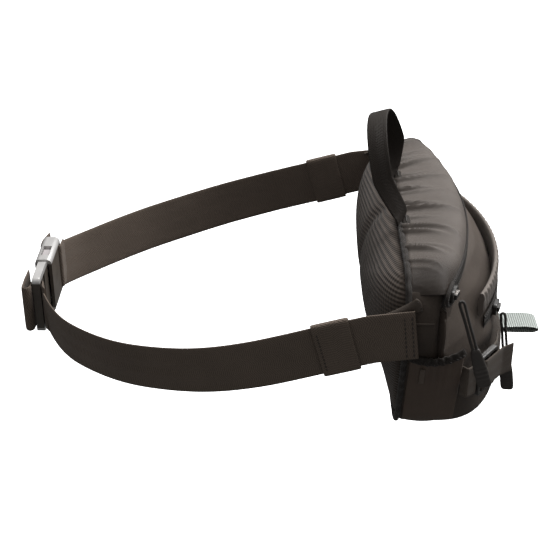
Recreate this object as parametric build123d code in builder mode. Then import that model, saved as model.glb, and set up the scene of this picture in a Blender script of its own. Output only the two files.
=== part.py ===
"""Waist pack with a webbing belt, closed by a side-release buckle.

The row frame is in millimetres, +Z up, with its origin at the middle of the wearer's waist, at belt height.
The bag's front faces -Y and the buckle is on +Y. Left is -X and right is +X.
"""

import math
import os

from build123d import *

os.makedirs("parts", exist_ok=True)

# Driving sizes of the bag
waist_depth = 246.0  # from the back pad's crown to the inside of the buckle
pad_depth = 29.0
pack_height = 142.0
base_drop = 84.0  # from the waist's middle down to the bag's base
body_depth = 50.0  # main compartment, from the back seam to the middle of its zip
front_depth = 35.0  # front pocket at its fullest
top_half = 124.0
hip_half = 131.5
base_half = 92.0
hip_rise = 20.0  # widest level of the bag, above the waist's middle
outline_round = 26.0
plan_radius = 313.0  # plan arc of the main compartment's front
pocket_pivot_back = 112.0  # centre of the front pocket's round, ahead of the back seam's plane
wall = 2.5
top_thickness = 11.5
gap = 0.3  # clearance between soft pieces
forward = (0, -1, 0)

# Belt
webbing = 38.0
webbing_thickness = 1.8
hip_offset = 3.6  # belt webbing outside the bag's widest point
hip_setback = 25.0  # belt pivot behind the back seam
belt_slope = 0.27  # fall of the belt for each millimetre towards the buckle
straight_end_y = -60.0  # where the belt's straight ends and its round begins
round_power = 1.87  # exponent of the round's plan: 2 is an ellipse
belt_low = -24.0
belt_low_y = 90.0
buckle_rise = 7.0
belt_lean = 8.0  # degrees that the top edge leans outwards in the round
anchor_length = 28.0
fin_height = 16.0
keeper_length = 26.0
keeper_start = 12.0
keeper_wall = 1.3
keeper_clearance = 0.6
strap_stations = 16

# Buckle
buckle_width = 47.0
female_length = 38.0
female_thickness = 13.0
male_length = 31.0
male_thickness = 6.0
buckle_wall = 2.4
prong_length = 23.0
prong_thickness = 4.2
prong_depth = 5.6
prong_reach = 14.0
barb_height = 3.8
barb_length = 11.0
side_wall = 5.2
cavity_depth = 27.0
window_start = 7.6
window_length = 15.0
buckle_clearance = 0.5
buckle_z = -17.0
bar_width = 4.0

# Trim
handle_webbing = 16.0
handle_span = 80.0
handle_height = 62.0
handle_thickness = 2.2
handle_lean = 15.0
tack_length = 14.0
strap_webbing = 25.0
strap_thickness = 1.6
lock_length = 26.0
lock_width = 32.0
lock_z = -28.0
lock_thickness = 4.4
lock_bar = 3.2
strap_side_half = 119.5  # sewn side end of a compression strap, from the bag's middle
strap_side_forward = 45.0  # and ahead of the back seam
strap_front_half = 69.0  # sewn front end of a compression strap, from the bag's middle
strap_front_in = 13.0  # and behind the front pocket's fullest line
lock_aim_half = 60.0  # the strap's run at the lock points here, from the bag's middle
lock_aim_out = 5.0  # and ahead of the front pocket's fullest line
lock_forward = 11.0  # from the sewn side end to the lock's near edge
lock_stand = 0.8  # the lock's middle outside the strap's run
lock_lead = 6.0  # threaded webbing's end behind the lock's middle
tail_rest = 3.0  # threaded webbing lies flat this far past the lock
tail_length = 15.0  # and its free end reaches this far past the lock
tail_lift = 3.0  # and stands off by this
front_dip = 2.5  # webbing's middle behind the lock's middle at its front slot
front_dip_end = 4.0  # and further on
front_run = 9.0
loop_length = 32.0
loop_width = 22.0
loop_z = -50.0
loop_thickness = 1.3
loop_gap = 4.6
zip_width = 13.0
zip_thickness = 1.8
welt_height = 18.0
welt_stand = 4.0
slider_length = 13.0
slider_width = 9.0
slider_thickness = 4.5
slider_round = 2.5
pull_cord = 2.4
main_cord_length = 40.0
front_cord_length = 34.0
tab_length = 33.0
tab_width = 10.0
tab_thickness = 4.0
side_pocket_stand = 9.0
side_pocket_wall = 2.0
side_pocket_mouth = 1.0
hem_height = 6.0

# Places that follow from the driving sizes
crown_y = -waist_depth / 2
seam_y = crown_y - pad_depth
base_z = -base_drop
top_z = base_z + pack_height
zip_y = seam_y - body_depth
plan_y = zip_y + plan_radius
lid_z = top_z - top_thickness
pocket_y = seam_y + pocket_pivot_back
pocket_radius = pocket_y - (zip_y - front_depth)
buckle_y = waist_depth / 2 - 3.0
hip_y = seam_y + hip_setback
hip_x = hip_half + hip_offset
hip_z = hip_rise - 1.0
front_zip_z = 0.0
pocket_top_z = lid_z - 10.0

# Radius of the front pocket at its levels, as shares of its fullest radius: level above the base, set-in
pocket_profile = [
    (0.0, 12.0),
    (10.0, 2.0),
    (36.0, 0.0),
    (73.0, 7.0),
    (88.0, 10.0),
    (109.0, 19.0),
    (pocket_top_z - base_z, 28.0),
]


def save(piece, name):
    """Label a finished piece and write its STEP file."""
    piece.part.label = name
    export_step(piece.part, f"parts/{name}.step")


def outline(plane, grow=0.0):
    """Back view of the bag: wide at the hips, narrower at the base, with round corners."""
    with BuildSketch(plane) as shape:
        with BuildLine():
            Polyline(
                (-base_half, base_z),
                (base_half, base_z),
                (hip_half, base_z + base_drop + hip_rise),
                (top_half, top_z),
                (-top_half, top_z),
                (-hip_half, base_z + base_drop + hip_rise),
                close=True,
            )
        make_face()
        fillet(shape.vertices(), outline_round)
        if grow:
            offset(amount=grow, mode=Mode.REPLACE)
    return shape.sketch


def body_block(grow, back, low, high):
    """The bag's outline from the plane y = back to its front arc, between two levels, grown by an amount."""
    shape = outline(Plane.XZ.offset(-back), grow)
    with BuildPart() as block:
        extrude(shape, amount=plan_radius, dir=forward)
        with BuildSketch(Plane.XY.offset(low)):
            with Locations((0, plan_y)):
                Circle(plan_radius + grow)
        extrude(amount=high - low, mode=Mode.INTERSECT)
    return block.part


def pocket_block(grow):
    """The front pocket's round body, turned about its upright axis and cut to the bag's outline."""
    shape = outline(Plane.XZ.offset(-seam_y), grow)
    with BuildPart() as block:
        with BuildSketch(Plane(origin=(0, pocket_y, 0), x_dir=(1, 0, 0), z_dir=(0, -1, 0))):
            with BuildLine():
                profile = Polyline(
                    *[(pocket_radius - inset + grow, base_z + level) for level, inset in pocket_profile]
                )
                Polyline(profile @ 1, (1.0, pocket_top_z), (1.0, base_z), profile @ 0)
            make_face()
        revolve(axis=Axis((0, pocket_y, 0), (0, 0, 1)))
        extrude(shape, amount=plan_radius, dir=forward, mode=Mode.INTERSECT)
    return block.part


def window(x_low, x_high, y_low, y_high, z_low, z_high):
    """A plain box between six faces, used to cut a piece to its place."""
    with BuildPart() as block:
        with Locations(((x_low + x_high) / 2, (y_low + y_high) / 2, (z_low + z_high) / 2)):
            Box(x_high - x_low, y_high - y_low, z_high - z_low)
    return block.part


# Main compartment: an open-topped shell, closed by the top panel
shell_outer = body_block(0.0, seam_y, base_z, lid_z - gap)
shell_inner = body_block(-wall, seam_y - wall, base_z + wall, lid_z + wall)
with BuildPart() as main_shell:
    add(shell_outer)
    add(shell_inner, mode=Mode.SUBTRACT)
save(main_shell, "main_shell")

top_solid = body_block(0.0, seam_y, lid_z, top_z + 1.0)
with BuildPart() as top_panel:
    add(top_solid)
save(top_panel, "top_panel")

# Back panel: a stiff sheet, a foam pad and a spacer-mesh face, thinning towards the base
with BuildPart() as pad_profile:
    with BuildSketch(Plane.YZ):
        with BuildLine():
            Polyline(
                (seam_y - 1.0, top_z - 1.0),
                (crown_y - 5.0, top_z - 6.0),
                (crown_y, top_z - 26.0),
                (crown_y, base_z + 84.0),
                (crown_y - 11.0, base_z + 55.0),
                (crown_y - 25.0, base_z + 27.0),
                (seam_y + 1.0, base_z + 6.0),
                (seam_y - 1.0, base_z + 1.0),
                close=True,
            )
        make_face()
    extrude(amount=hip_half + 10.0, both=True)

pad_inset = 4.0
sheet_thickness = 1.5
mesh_depth = 8.0


def pad_layer(back, front, inset):
    """A layer of the back panel between two planes, inside the bag's outline and the pad's side profile."""
    shape = outline(Plane.XZ.offset(-front), -inset)
    with BuildPart() as layer:
        extrude(shape, amount=front - back, dir=forward)
        add(pad_profile.part, mode=Mode.INTERSECT)
    return layer.part


sheet_solid = pad_layer(seam_y + gap, seam_y + gap + sheet_thickness, pad_inset)
with BuildPart() as back_sheet:
    add(sheet_solid)
save(back_sheet, "back_sheet")

foam_solid = pad_layer(seam_y + 2 * gap + sheet_thickness, crown_y - mesh_depth - gap, pad_inset)
with BuildPart() as back_foam:
    add(foam_solid)
save(back_foam, "back_foam")

mesh_solid = pad_layer(crown_y - mesh_depth, crown_y, pad_inset + 6.0)
with BuildPart() as back_mesh:
    add(mesh_solid)
save(back_mesh, "back_mesh")

binding_proud = 1.4
binding_depth = 3.4
ring_outer = outline(Plane.XZ.offset(-seam_y - gap - binding_depth), binding_proud)
ring_inner = outline(Plane.XZ.offset(-seam_y - gap - binding_depth), gap - pad_inset)
with BuildPart() as back_binding:
    extrude(ring_outer, amount=binding_depth, dir=forward)
    extrude(ring_inner, amount=binding_depth, dir=forward, mode=Mode.SUBTRACT)
save(back_binding, "back_binding")

# Front pocket: a round shell over the main compartment's front, open towards it
pocket_outer = pocket_block(0.0)
pocket_inner = pocket_block(-wall)
with BuildPart() as body_round:
    with BuildSketch(Plane.XY.offset(base_z - 1.0)):
        with Locations((0, plan_y)):
            Circle(plan_radius + gap)
    extrude(amount=pack_height + 2.0)
inner_window = window(-hip_half, hip_half, -400.0, 0.0, base_z + wall, pocket_top_z - wall)
with BuildPart() as pocket_space:
    add(pocket_inner)
    add(inner_window, mode=Mode.INTERSECT)
with BuildPart() as front_pocket:
    add(pocket_outer)
    add(body_round.part, mode=Mode.SUBTRACT)
    add(pocket_space.part, mode=Mode.SUBTRACT)
save(front_pocket, "front_pocket")


def round_band(centre_y, radius, thickness, low, high, half_angle):
    """An upright band bent round a vertical axis at (0, centre_y), facing -Y."""
    with BuildPart() as band:
        with BuildSketch(Plane.XY.offset(low)):
            with BuildLine():
                inner = CenterArc((0, centre_y), radius, 270 - half_angle, 2 * half_angle)
                outer = CenterArc((0, centre_y), radius + thickness, 270 - half_angle, 2 * half_angle)
                Line(inner @ 0, outer @ 0)
                Line(inner @ 1, outer @ 1)
            make_face()
        extrude(amount=high - low)
    return band.part


# Main zip: its tape and coil on the arc between the shell and the top panel, with a garage at each end
main_zip_angle = 22.5
main_zip_solid = round_band(
    plan_y,
    plan_radius + gap,
    zip_thickness,
    lid_z - zip_width / 2,
    lid_z + zip_width / 2,
    main_zip_angle + 1.0,
)
with BuildPart() as main_zip:
    add(main_zip_solid)
save(main_zip, "main_zip")

front_zip_angle = 24.0
front_slider_angle = 18.0
front_zip_radius = pocket_radius - 9.0
front_zip_solid = round_band(
    pocket_y,
    front_zip_radius + 1.0,
    zip_thickness,
    front_zip_z - zip_width / 2,
    front_zip_z + zip_width / 2,
    front_zip_angle + 3.0,
)
with BuildPart() as front_zip:
    add(front_zip_solid)
    add(pocket_outer, mode=Mode.SUBTRACT)
save(front_zip, "front_zip")

# Gathered welt over the front zip: a band that leans back with the pocket's front
welt_low = front_zip_z + zip_width / 2 + 1.0
welt_high = welt_low + welt_height
welt_reach = pocket_radius * math.sin(math.radians(front_zip_angle + 3.0))


def pocket_set_in(z):
    """How far the front pocket's round is drawn in at a level."""
    for (low, low_inset), (high, high_inset) in zip(pocket_profile, pocket_profile[1:]):
        if base_z + low <= z <= base_z + high:
            return low_inset + (high_inset - low_inset) * (z - base_z - low) / (high - low)
    return pocket_profile[-1][1]


welt_low_radius = pocket_radius - pocket_set_in(welt_low)
welt_high_radius = pocket_radius - pocket_set_in(welt_high)
welt_window = window(-welt_reach, welt_reach, -pocket_radius * 2, pocket_y, welt_low, welt_high)
with BuildPart() as front_welt:
    with BuildSketch(Plane(origin=(0, pocket_y, 0), x_dir=(1, 0, 0), z_dir=(0, -1, 0))):
        with BuildLine():
            Polyline(
                (welt_low_radius - 2.0, welt_low),
                (welt_low_radius + welt_stand, welt_low),
                (welt_high_radius + welt_stand, welt_high),
                (welt_high_radius - 2.0, welt_high),
                close=True,
            )
        make_face()
    revolve(axis=Axis((0, pocket_y, 0), (0, 0, 1)))
    add(welt_window, mode=Mode.INTERSECT)
    add(pocket_outer, mode=Mode.SUBTRACT)
save(front_welt, "front_welt")


def slider_solid(centre_y, radius, angle, level):
    """A zip slider: a shaped body with a pull bridge, standing outside a bent zip at an angle from -Y."""
    turn = math.radians(angle)
    outward = (math.sin(turn), -math.cos(turn), 0)
    along = (math.cos(turn), math.sin(turn), 0)
    place = (outward[0] * radius, centre_y + outward[1] * radius, level)
    seat = Plane(origin=place, x_dir=along, z_dir=outward)
    with BuildPart() as slider:
        with BuildSketch(seat):
            RectangleRounded(slider_length, slider_width, slider_round)
        extrude(amount=slider_thickness * 0.6)
        with BuildSketch(seat.offset(slider_thickness * 0.6)):
            Rectangle(slider_length * 0.6, slider_width * 0.4)
        extrude(amount=slider_thickness * 0.4)
    return slider.part


main_slider_solid = slider_solid(plan_y, plan_radius + 2 * gap + zip_thickness, -main_zip_angle, lid_z)
with BuildPart() as main_slider:
    add(main_slider_solid)
save(main_slider, "main_slider")

front_slider_solid = slider_solid(
    pocket_y, front_zip_radius + 1.0 + gap + zip_thickness, -front_slider_angle, front_zip_z
)
with BuildPart() as front_slider:
    add(front_slider_solid)
save(front_slider, "front_slider")


# Zip pulls: a cord loop through the slider's bridge and a moulded tab on it
def pull_pieces(hinge, along, down, cord_length):
    """A cord and its tab, hanging from a hinge point in the direction down, flat to the direction along."""
    run = Vector(*down).normalized()
    side = (Vector(*along) - run * run.dot(Vector(*along))).normalized()
    seat = Plane(origin=hinge, x_dir=side, z_dir=run)
    with BuildPart() as cord:
        with BuildSketch(seat.offset(cord_start)):
            RectangleRounded(pull_cord * 1.9, pull_cord, pull_cord * 0.45)
        extrude(amount=cord_length - cord_start)
    with BuildPart() as tab:
        with BuildSketch(seat.offset(cord_length + 0.05)):
            RectangleRounded(tab_width, tab_thickness, tab_thickness * 0.3)
        extrude(amount=tab_length)
    return cord.part, tab.part


def arc_point(centre_y, radius, angle, level):
    """A point at an angle from -Y on a circle about the upright axis through (0, centre_y)."""
    turn = math.radians(angle)
    return (math.sin(turn) * radius, centre_y - math.cos(turn) * radius, level)


cord_start = 2.0
main_pull_hinge = arc_point(
    plan_y, plan_radius + 2 * gap + zip_thickness + slider_thickness + pull_cord, -main_zip_angle, lid_z - 4.0
)
main_pull_down = (0.0, -0.3, -0.954)
main_pull_along = (0.0, -0.954, 0.3)
main_cord_solid, main_tab_solid = pull_pieces(
    main_pull_hinge, main_pull_along, main_pull_down, main_cord_length
)
with BuildPart() as main_pull_cord:
    add(main_cord_solid)
save(main_pull_cord, "main_pull_cord")
with BuildPart() as main_pull_tab:
    add(main_tab_solid)
save(main_pull_tab, "main_pull_tab")

front_pull_hinge = arc_point(
    pocket_y,
    front_zip_radius + 1.0 + gap + zip_thickness + slider_thickness + pull_cord,
    -front_slider_angle,
    front_zip_z - 4.0,
)
turn = math.radians(-front_slider_angle)
front_pull_lean = 0.14
front_pull_down = (math.sin(turn) * front_pull_lean, -math.cos(turn) * front_pull_lean, -1.0)
front_pull_along = (math.sin(turn), -math.cos(turn), 0.0)
front_cord_solid, front_tab_solid = pull_pieces(
    front_pull_hinge, front_pull_along, front_pull_down, front_cord_length
)
with BuildPart() as front_pull_cord:
    add(front_cord_solid)
save(front_pull_cord, "front_pull_cord")
with BuildPart() as front_pull_tab:
    add(front_tab_solid)
save(front_pull_tab, "front_pull_tab")

# Light loop: stiff folded tape standing out from the front
loop_y = pocket_y - pocket_radius - 0.1 - gap
with BuildPart() as light_loop:
    with BuildSketch(Plane.YZ):
        with Locations((loop_y - loop_length / 2, loop_z)):
            SlotOverall(loop_length, loop_gap + 2 * loop_thickness)
            SlotOverall(loop_length - 2 * loop_thickness, loop_gap, mode=Mode.SUBTRACT)
    extrude(amount=loop_width / 2, both=True)
save(light_loop, "light_loop")

# Haul handle: an arch of webbing on round ends that turn on the top seam
handle_y = seam_y + 1.0
handle_pivot_z = top_z + gap + handle_webbing / 2 + strap_thickness
handle_seat = Plane(
    origin=(0, handle_y, handle_pivot_z),
    x_dir=(1, 0, 0),
    z_dir=(0, -math.cos(math.radians(handle_lean)), math.sin(math.radians(handle_lean))),
)
with BuildPart() as haul_handle:
    with BuildSketch(handle_seat):
        with BuildLine():
            outer_arch = EllipticalCenterArc((0, 0), handle_span / 2, handle_height, arc_size=180)
            inner_arch = EllipticalCenterArc(
                (0, 0), handle_span / 2 - handle_thickness, handle_height - handle_thickness, arc_size=180
            )
            Line(outer_arch @ 0, inner_arch @ 0)
            Line(outer_arch @ 1, inner_arch @ 1)
        make_face()
    extrude(amount=handle_webbing / 2, both=True)
    for side in (-1, 1):
        foot_x = side * (handle_span - handle_thickness) / 2
        with Locations(Location((foot_x, handle_y, handle_pivot_z), (0, 90, 0))):
            Cylinder(handle_webbing / 2, handle_thickness)
save(haul_handle, "haul_handle")

with BuildPart() as handle_tacks:
    for side in (-1, 1):
        foot_x = side * (handle_span - handle_thickness) / 2
        with Locations((foot_x, seam_y - gap - handle_webbing / 2, top_z + strap_thickness / 2)):
            Box(tack_length, handle_webbing, strap_thickness)
save(handle_tacks, "handle_tacks")

side_names = {-1: "left", 1: "right"}

# Side pockets: a stretch skin standing off each side of the shell, with an elastic hem at its mouth
pocket_back_y = seam_y - 11.5
pocket_front_y = seam_y - 42.0
mouth_z = side_pocket_mouth
side_gap = body_block(gap, pocket_back_y + 5.0, base_z - 5.0, mouth_z + hem_height + 5.0)
pocket_gap = pocket_block(gap)
side_space = body_block(
    side_pocket_stand - side_pocket_wall,
    pocket_back_y - side_pocket_wall,
    base_z + 2 * side_pocket_wall,
    mouth_z + hem_height + 5.0,
)


def side_skin(side, stand, low, high):
    """The side pocket's skin on one side between two levels, hollow towards the shell and upwards."""
    skin = body_block(stand, pocket_back_y, low, high)
    low_x, high_x = sorted((side * 60.0, side * (hip_half + 60.0)))
    place = window(low_x, high_x, pocket_front_y, pocket_back_y, low, high)
    inside = window(low_x, high_x, pocket_front_y + side_pocket_wall, pocket_back_y, base_z, high + 5.0)
    with BuildPart() as hollow:
        add(side_space)
        add(inside, mode=Mode.INTERSECT)
    with BuildPart() as piece:
        add(skin)
        add(place, mode=Mode.INTERSECT)
        add(hollow.part, mode=Mode.SUBTRACT)
        add(side_gap, mode=Mode.SUBTRACT)
        add(pocket_gap, mode=Mode.SUBTRACT)
    return piece.part


for side, name in side_names.items():
    skin_solid = side_skin(side, side_pocket_stand, base_z + gap, mouth_z)
    with BuildPart() as side_pocket:
        add(skin_solid)
    save(side_pocket, f"side_pocket_{name}")

    hem_solid = side_skin(side, side_pocket_stand, mouth_z + 0.02, mouth_z + hem_height)
    with BuildPart() as pocket_hem:
        add(hem_solid)
    save(pocket_hem, f"pocket_hem_{name}")

# Hip ends of the belt: sewn webbing and a small gusset on each side of the bag
anchor_x = hip_x - webbing_thickness / 2 - 0.4 - webbing_thickness / 2
for side, name in side_names.items():
    with BuildPart() as hip_anchor:
        with Locations((side * anchor_x, seam_y + 4.0, hip_z)):
            Box(webbing_thickness, anchor_length, webbing)
    save(hip_anchor, f"hip_anchor_{name}")

    with BuildPart() as hip_fin:
        with BuildSketch(Plane.YZ.offset(side * anchor_x)):
            with BuildLine():
                Polyline(
                    (seam_y - 8.0, hip_z + webbing / 2 + gap),
                    (seam_y + 16.0, hip_z + webbing / 2 + gap),
                    (seam_y + 1.0, hip_z + webbing / 2 + fin_height),
                    close=True,
                )
            make_face()
        extrude(amount=webbing_thickness / 2, both=True)
    save(hip_fin, f"hip_fin_{name}")


# Compression straps at the front corners, each with a ladder-lock that tilts to let it out
def strip(points, thickness, low, high):
    """An upright band of webbing that follows points in plan, centred on them."""
    with BuildPart() as band:
        with BuildSketch(Plane.XY.offset(low)):
            with BuildLine():
                Polyline(*points)
            trace(line_width=thickness)
        extrude(amount=high - low)
    return band.part


corner_start = (-strap_side_half, seam_y - strap_side_forward)
corner_end = (-strap_front_half, zip_y - front_depth + strap_front_in)
lock_aim = (-lock_aim_half, zip_y - front_depth - lock_aim_out)
lock_run = Vector(lock_aim[0] - corner_start[0], lock_aim[1] - corner_start[1], 0).normalized()
lock_out = Vector(lock_run.Y, -lock_run.X, 0)
lock_place = lock_run * (lock_length / 2 + lock_forward) + lock_out * lock_stand
lock_centre = Vector(corner_start[0], corner_start[1], lock_z) + lock_place
strap_low = lock_z - strap_webbing / 2
strap_high = lock_z + strap_webbing / 2
lock_edge = lock_length / 2
slot_length = (lock_length - 3 * lock_bar) / 2
slot_width = strap_webbing + 2 * buckle_clearance
web_over = lock_thickness / 2 + strap_thickness / 2 + 0.02


def on_lock(along, out):
    """A plan point on the left ladder-lock, along the strap and outwards from the lock's middle."""
    point = lock_centre + lock_run * along + lock_out * out
    return (point.X, point.Y)


for side, name in side_names.items():
    turned = Plane.YZ
    side_points = [corner_start, on_lock(-lock_edge - 4 * gap, 0.0)]
    front_points = [
        on_lock(lock_edge + 2 * gap, -front_dip),
        on_lock(lock_edge + front_run, -front_dip_end),
        corner_end,
    ]
    side_band = strip(side_points, strap_thickness, strap_low, strap_high)
    front_band = strip(front_points, strap_thickness, strap_low, strap_high)
    lock_seat = Plane(origin=lock_centre, x_dir=lock_run, z_dir=lock_out)
    with BuildPart() as lock_frame:
        with BuildSketch(lock_seat):
            RectangleRounded(lock_length, lock_width, lock_bar)
            with GridLocations((lock_length - lock_bar) / 2, 0, 2, 1):
                RectangleRounded(slot_length, slot_width, 1.2, mode=Mode.SUBTRACT)
        extrude(amount=lock_thickness / 2, both=True)
    web_points = [
        on_lock(-lock_lead, web_over),
        on_lock(lock_edge + tail_rest, web_over),
        on_lock(lock_edge + tail_length, web_over + tail_lift),
    ]
    web_band = strip(web_points, strap_thickness, strap_low, strap_high)
    with BuildPart() as strap_side:
        add(side_band if side < 0 else side_band.mirror(turned))
    save(strap_side, f"strap_anchor_{name}")
    with BuildPart() as strap_front:
        add(front_band if side < 0 else front_band.mirror(turned))
    save(strap_front, f"strap_front_{name}")
    with BuildPart() as ladder_lock:
        add(lock_frame.part if side < 0 else lock_frame.part.mirror(turned))
    save(ladder_lock, f"ladder_lock_{name}")
    with BuildPart() as strap_tail:
        add(web_band if side < 0 else web_band.mirror(turned))
    save(strap_tail, f"strap_tail_{name}")


# Belt: two straps of one webbing, straight behind the hips and round towards the buckle
round_depth = buckle_y + 3.0 - straight_end_y
level_run = belt_low_y - straight_end_y
fall = hip_z - belt_slope * (straight_end_y - hip_y) - belt_low
fall_power = belt_slope * level_run / fall


def belt_level(y):
    """Height of the belt's middle: straight fall from the hips, then levelling, then rising to the buckle."""
    if y <= straight_end_y:
        return hip_z - belt_slope * (y - hip_y)
    if y <= belt_low_y:
        return belt_low + fall * ((belt_low_y - y) / level_run) ** fall_power
    return belt_low + buckle_rise * ((y - belt_low_y) / (buckle_y - belt_low_y)) ** 2


def belt_point(side, turn):
    """Middle of the belt at an angle of its round: 90 degrees at the straight's end, 0 at the buckle."""
    a = math.radians(turn)
    x = hip_x * math.sin(a) ** (2 / round_power)
    y = straight_end_y + round_depth * max(math.cos(a), 0.0) ** (2 / round_power)
    return Vector(side * x, y, belt_level(y))


def belt_section(point, tangent, lean):
    """A plane across the belt at a point, whose x runs through the webbing's thickness."""
    t = tangent.normalized()
    up = (Vector(0, 0, 1) - t * t.Z).normalized()
    out = t.cross(up)
    if out.X * point.X < 0:
        out = out * -1
    a = math.radians(lean)
    return Plane(origin=point, x_dir=out * math.cos(a) - up * math.sin(a), z_dir=t)


end_turn = math.degrees(math.asin(((male_length + 8.0) / hip_x) ** (round_power / 2)))
for side, name in side_names.items():
    straight = Vector(0, 1, -belt_slope)
    hip = Vector(side * hip_x, hip_y, hip_z)
    sections = [belt_section(hip, straight, 0.0)]
    for station in range(strap_stations):
        turn = 90.0 - (90.0 - end_turn) * station / (strap_stations - 1)
        here = belt_point(side, turn)
        ahead = belt_point(side, turn - 0.5)
        tangent = straight if station == 0 else ahead - belt_point(side, turn + 0.5)
        lean = belt_lean * math.sin(math.radians(2 * (90.0 - turn)))
        sections.append(belt_section(here, tangent, lean))
    with BuildPart() as belt_strap:
        for section in sections:
            with BuildSketch(section):
                Rectangle(webbing_thickness, webbing)
        loft(ruled=True)
        with Locations(Location((side * hip_x, hip_y, hip_z), (0, 90, 0))):
            Cylinder(webbing / 2, webbing_thickness)
    save(belt_strap, f"belt_strap_{name}")

    run = straight.normalized()
    keeper_seat = Plane(origin=hip + run * keeper_start, x_dir=(1, 0, 0), z_dir=run)
    inner_thick = webbing_thickness + 2 * keeper_clearance
    inner_wide = webbing + 2 * keeper_clearance
    with BuildPart() as keeper:
        with BuildSketch(keeper_seat):
            Rectangle(inner_thick + 2 * keeper_wall, inner_wide + 2 * keeper_wall)
            Rectangle(inner_thick, inner_wide, mode=Mode.SUBTRACT)
        extrude(amount=keeper_length)
    save(keeper, f"keeper_{name}")

# Buckle, closed: a flat hollow female half and a male half with a guide tongue and two sprung prongs
mouth_x = -3.6
cavity_half = buckle_width / 2 - side_wall
female_seat = Plane(origin=(mouth_x, buckle_y, buckle_z), x_dir=(0, 1, 0), z_dir=(1, 0, 0))
bar_slot = 5.0
with BuildPart() as buckle_female:
    with BuildSketch(female_seat):
        RectangleRounded(female_thickness, buckle_width, female_thickness * 0.3)
    extrude(amount=female_length)
    with BuildSketch(female_seat):
        Rectangle(female_thickness - 2 * buckle_wall, 2 * cavity_half)
    extrude(amount=cavity_depth, mode=Mode.SUBTRACT)
    with Locations((mouth_x + window_start + window_length / 2, buckle_y, buckle_z)):
        Box(window_length, prong_depth + 2 * buckle_clearance, buckle_width + 2.0, mode=Mode.SUBTRACT)
    with Locations((mouth_x + female_length - bar_width - bar_slot / 2, buckle_y, buckle_z)):
        Box(bar_slot, female_thickness + 2.0, webbing + 2 * buckle_clearance, mode=Mode.SUBTRACT)
save(buckle_female, "buckle_female")

male_front = mouth_x - 0.4
male_back = male_front - male_length
tongue_half = 5.0
with BuildPart() as buckle_male:
    with BuildSketch(Plane(origin=(0, buckle_y, 0), x_dir=(1, 0, 0), z_dir=(0, -1, 0))):
        with Locations((male_front - male_length / 2, buckle_z)):
            RectangleRounded(male_length, buckle_width, bar_width)
        for slot_x in (male_back + bar_width + bar_slot / 2, male_back + 2 * bar_width + 1.5 * bar_slot):
            with Locations((slot_x, buckle_z)):
                Rectangle(bar_slot, webbing + 2 * buckle_clearance, mode=Mode.SUBTRACT)
    extrude(amount=male_thickness / 2, both=True)
    with Locations((male_front + prong_length / 2 - 1.0, buckle_y, buckle_z)):
        Box(prong_length + 2.0, prong_depth - 2.0, 2 * tongue_half)
save(buckle_male, "buckle_male")

prong_start = mouth_x + 0.4
for side, name in ((1, "upper"), (-1, "lower")):
    with BuildPart() as prong:
        with BuildSketch(Plane(origin=(0, buckle_y, 0), x_dir=(1, 0, 0), z_dir=(0, -1, 0))):
            with BuildLine():
                arm_in = buckle_z + side * (prong_reach - prong_thickness / 2)
                arm_out = buckle_z + side * (prong_reach + prong_thickness / 2)
                barb_out = buckle_z + side * (cavity_half + barb_height)
                Polyline(
                    (prong_start, arm_in),
                    (prong_start + prong_length, arm_in),
                    (prong_start + prong_length, arm_out - side),
                    (mouth_x + window_start + 1.0 + barb_length, barb_out),
                    (mouth_x + window_start + 1.0, barb_out),
                    (mouth_x + window_start + 1.0, arm_out),
                    (prong_start, arm_out),
                    close=True,
                )
            make_face()
        extrude(amount=prong_depth / 2, both=True)
    save(prong, f"prong_{name}")

# Webbing turned round the bars of the buckle's halves
fold_low = buckle_z - webbing / 2
fold_high = buckle_z + webbing / 2
male_slot_x = male_back + bar_width + bar_slot / 2
male_side = male_thickness / 2 + webbing_thickness / 2 + gap
tail_step = 6.0
male_fold_solid = strip(
    [
        (male_back - 0.4, buckle_y - male_side),
        (male_slot_x, buckle_y - male_side),
        (male_slot_x, buckle_y + male_side),
        (male_back - 4.0, buckle_y + male_side),
        (male_back - 5.0, buckle_y + male_side + tail_step / 2),
        (male_back - 4.0, buckle_y + male_side + tail_step),
        (male_front - 8.0, buckle_y + male_side + tail_step),
    ],
    webbing_thickness,
    fold_low,
    fold_high,
)
with BuildPart() as belt_tail:
    add(male_fold_solid)
save(belt_tail, "belt_tail")

female_slot_x = mouth_x + female_length - bar_width - bar_slot / 2
female_side = female_thickness / 2 + webbing_thickness / 2 + gap
female_back = mouth_x + female_length
female_fold_solid = strip(
    [
        (female_back + 0.4, buckle_y - female_side),
        (female_slot_x, buckle_y - female_side),
        (female_slot_x, buckle_y + female_side),
        (female_back + 3.0, buckle_y + female_side),
        (female_back + 16.0, buckle_y + female_side - 3.0),
    ],
    webbing_thickness,
    fold_low,
    fold_high,
)
with BuildPart() as belt_fold:
    add(female_fold_solid)
save(belt_fold, "belt_fold")
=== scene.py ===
"""Waist pack: fabric, webbing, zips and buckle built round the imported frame.

The frame is in metres, with +Z up and the bag's front towards -Y.
"""

import math

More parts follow.
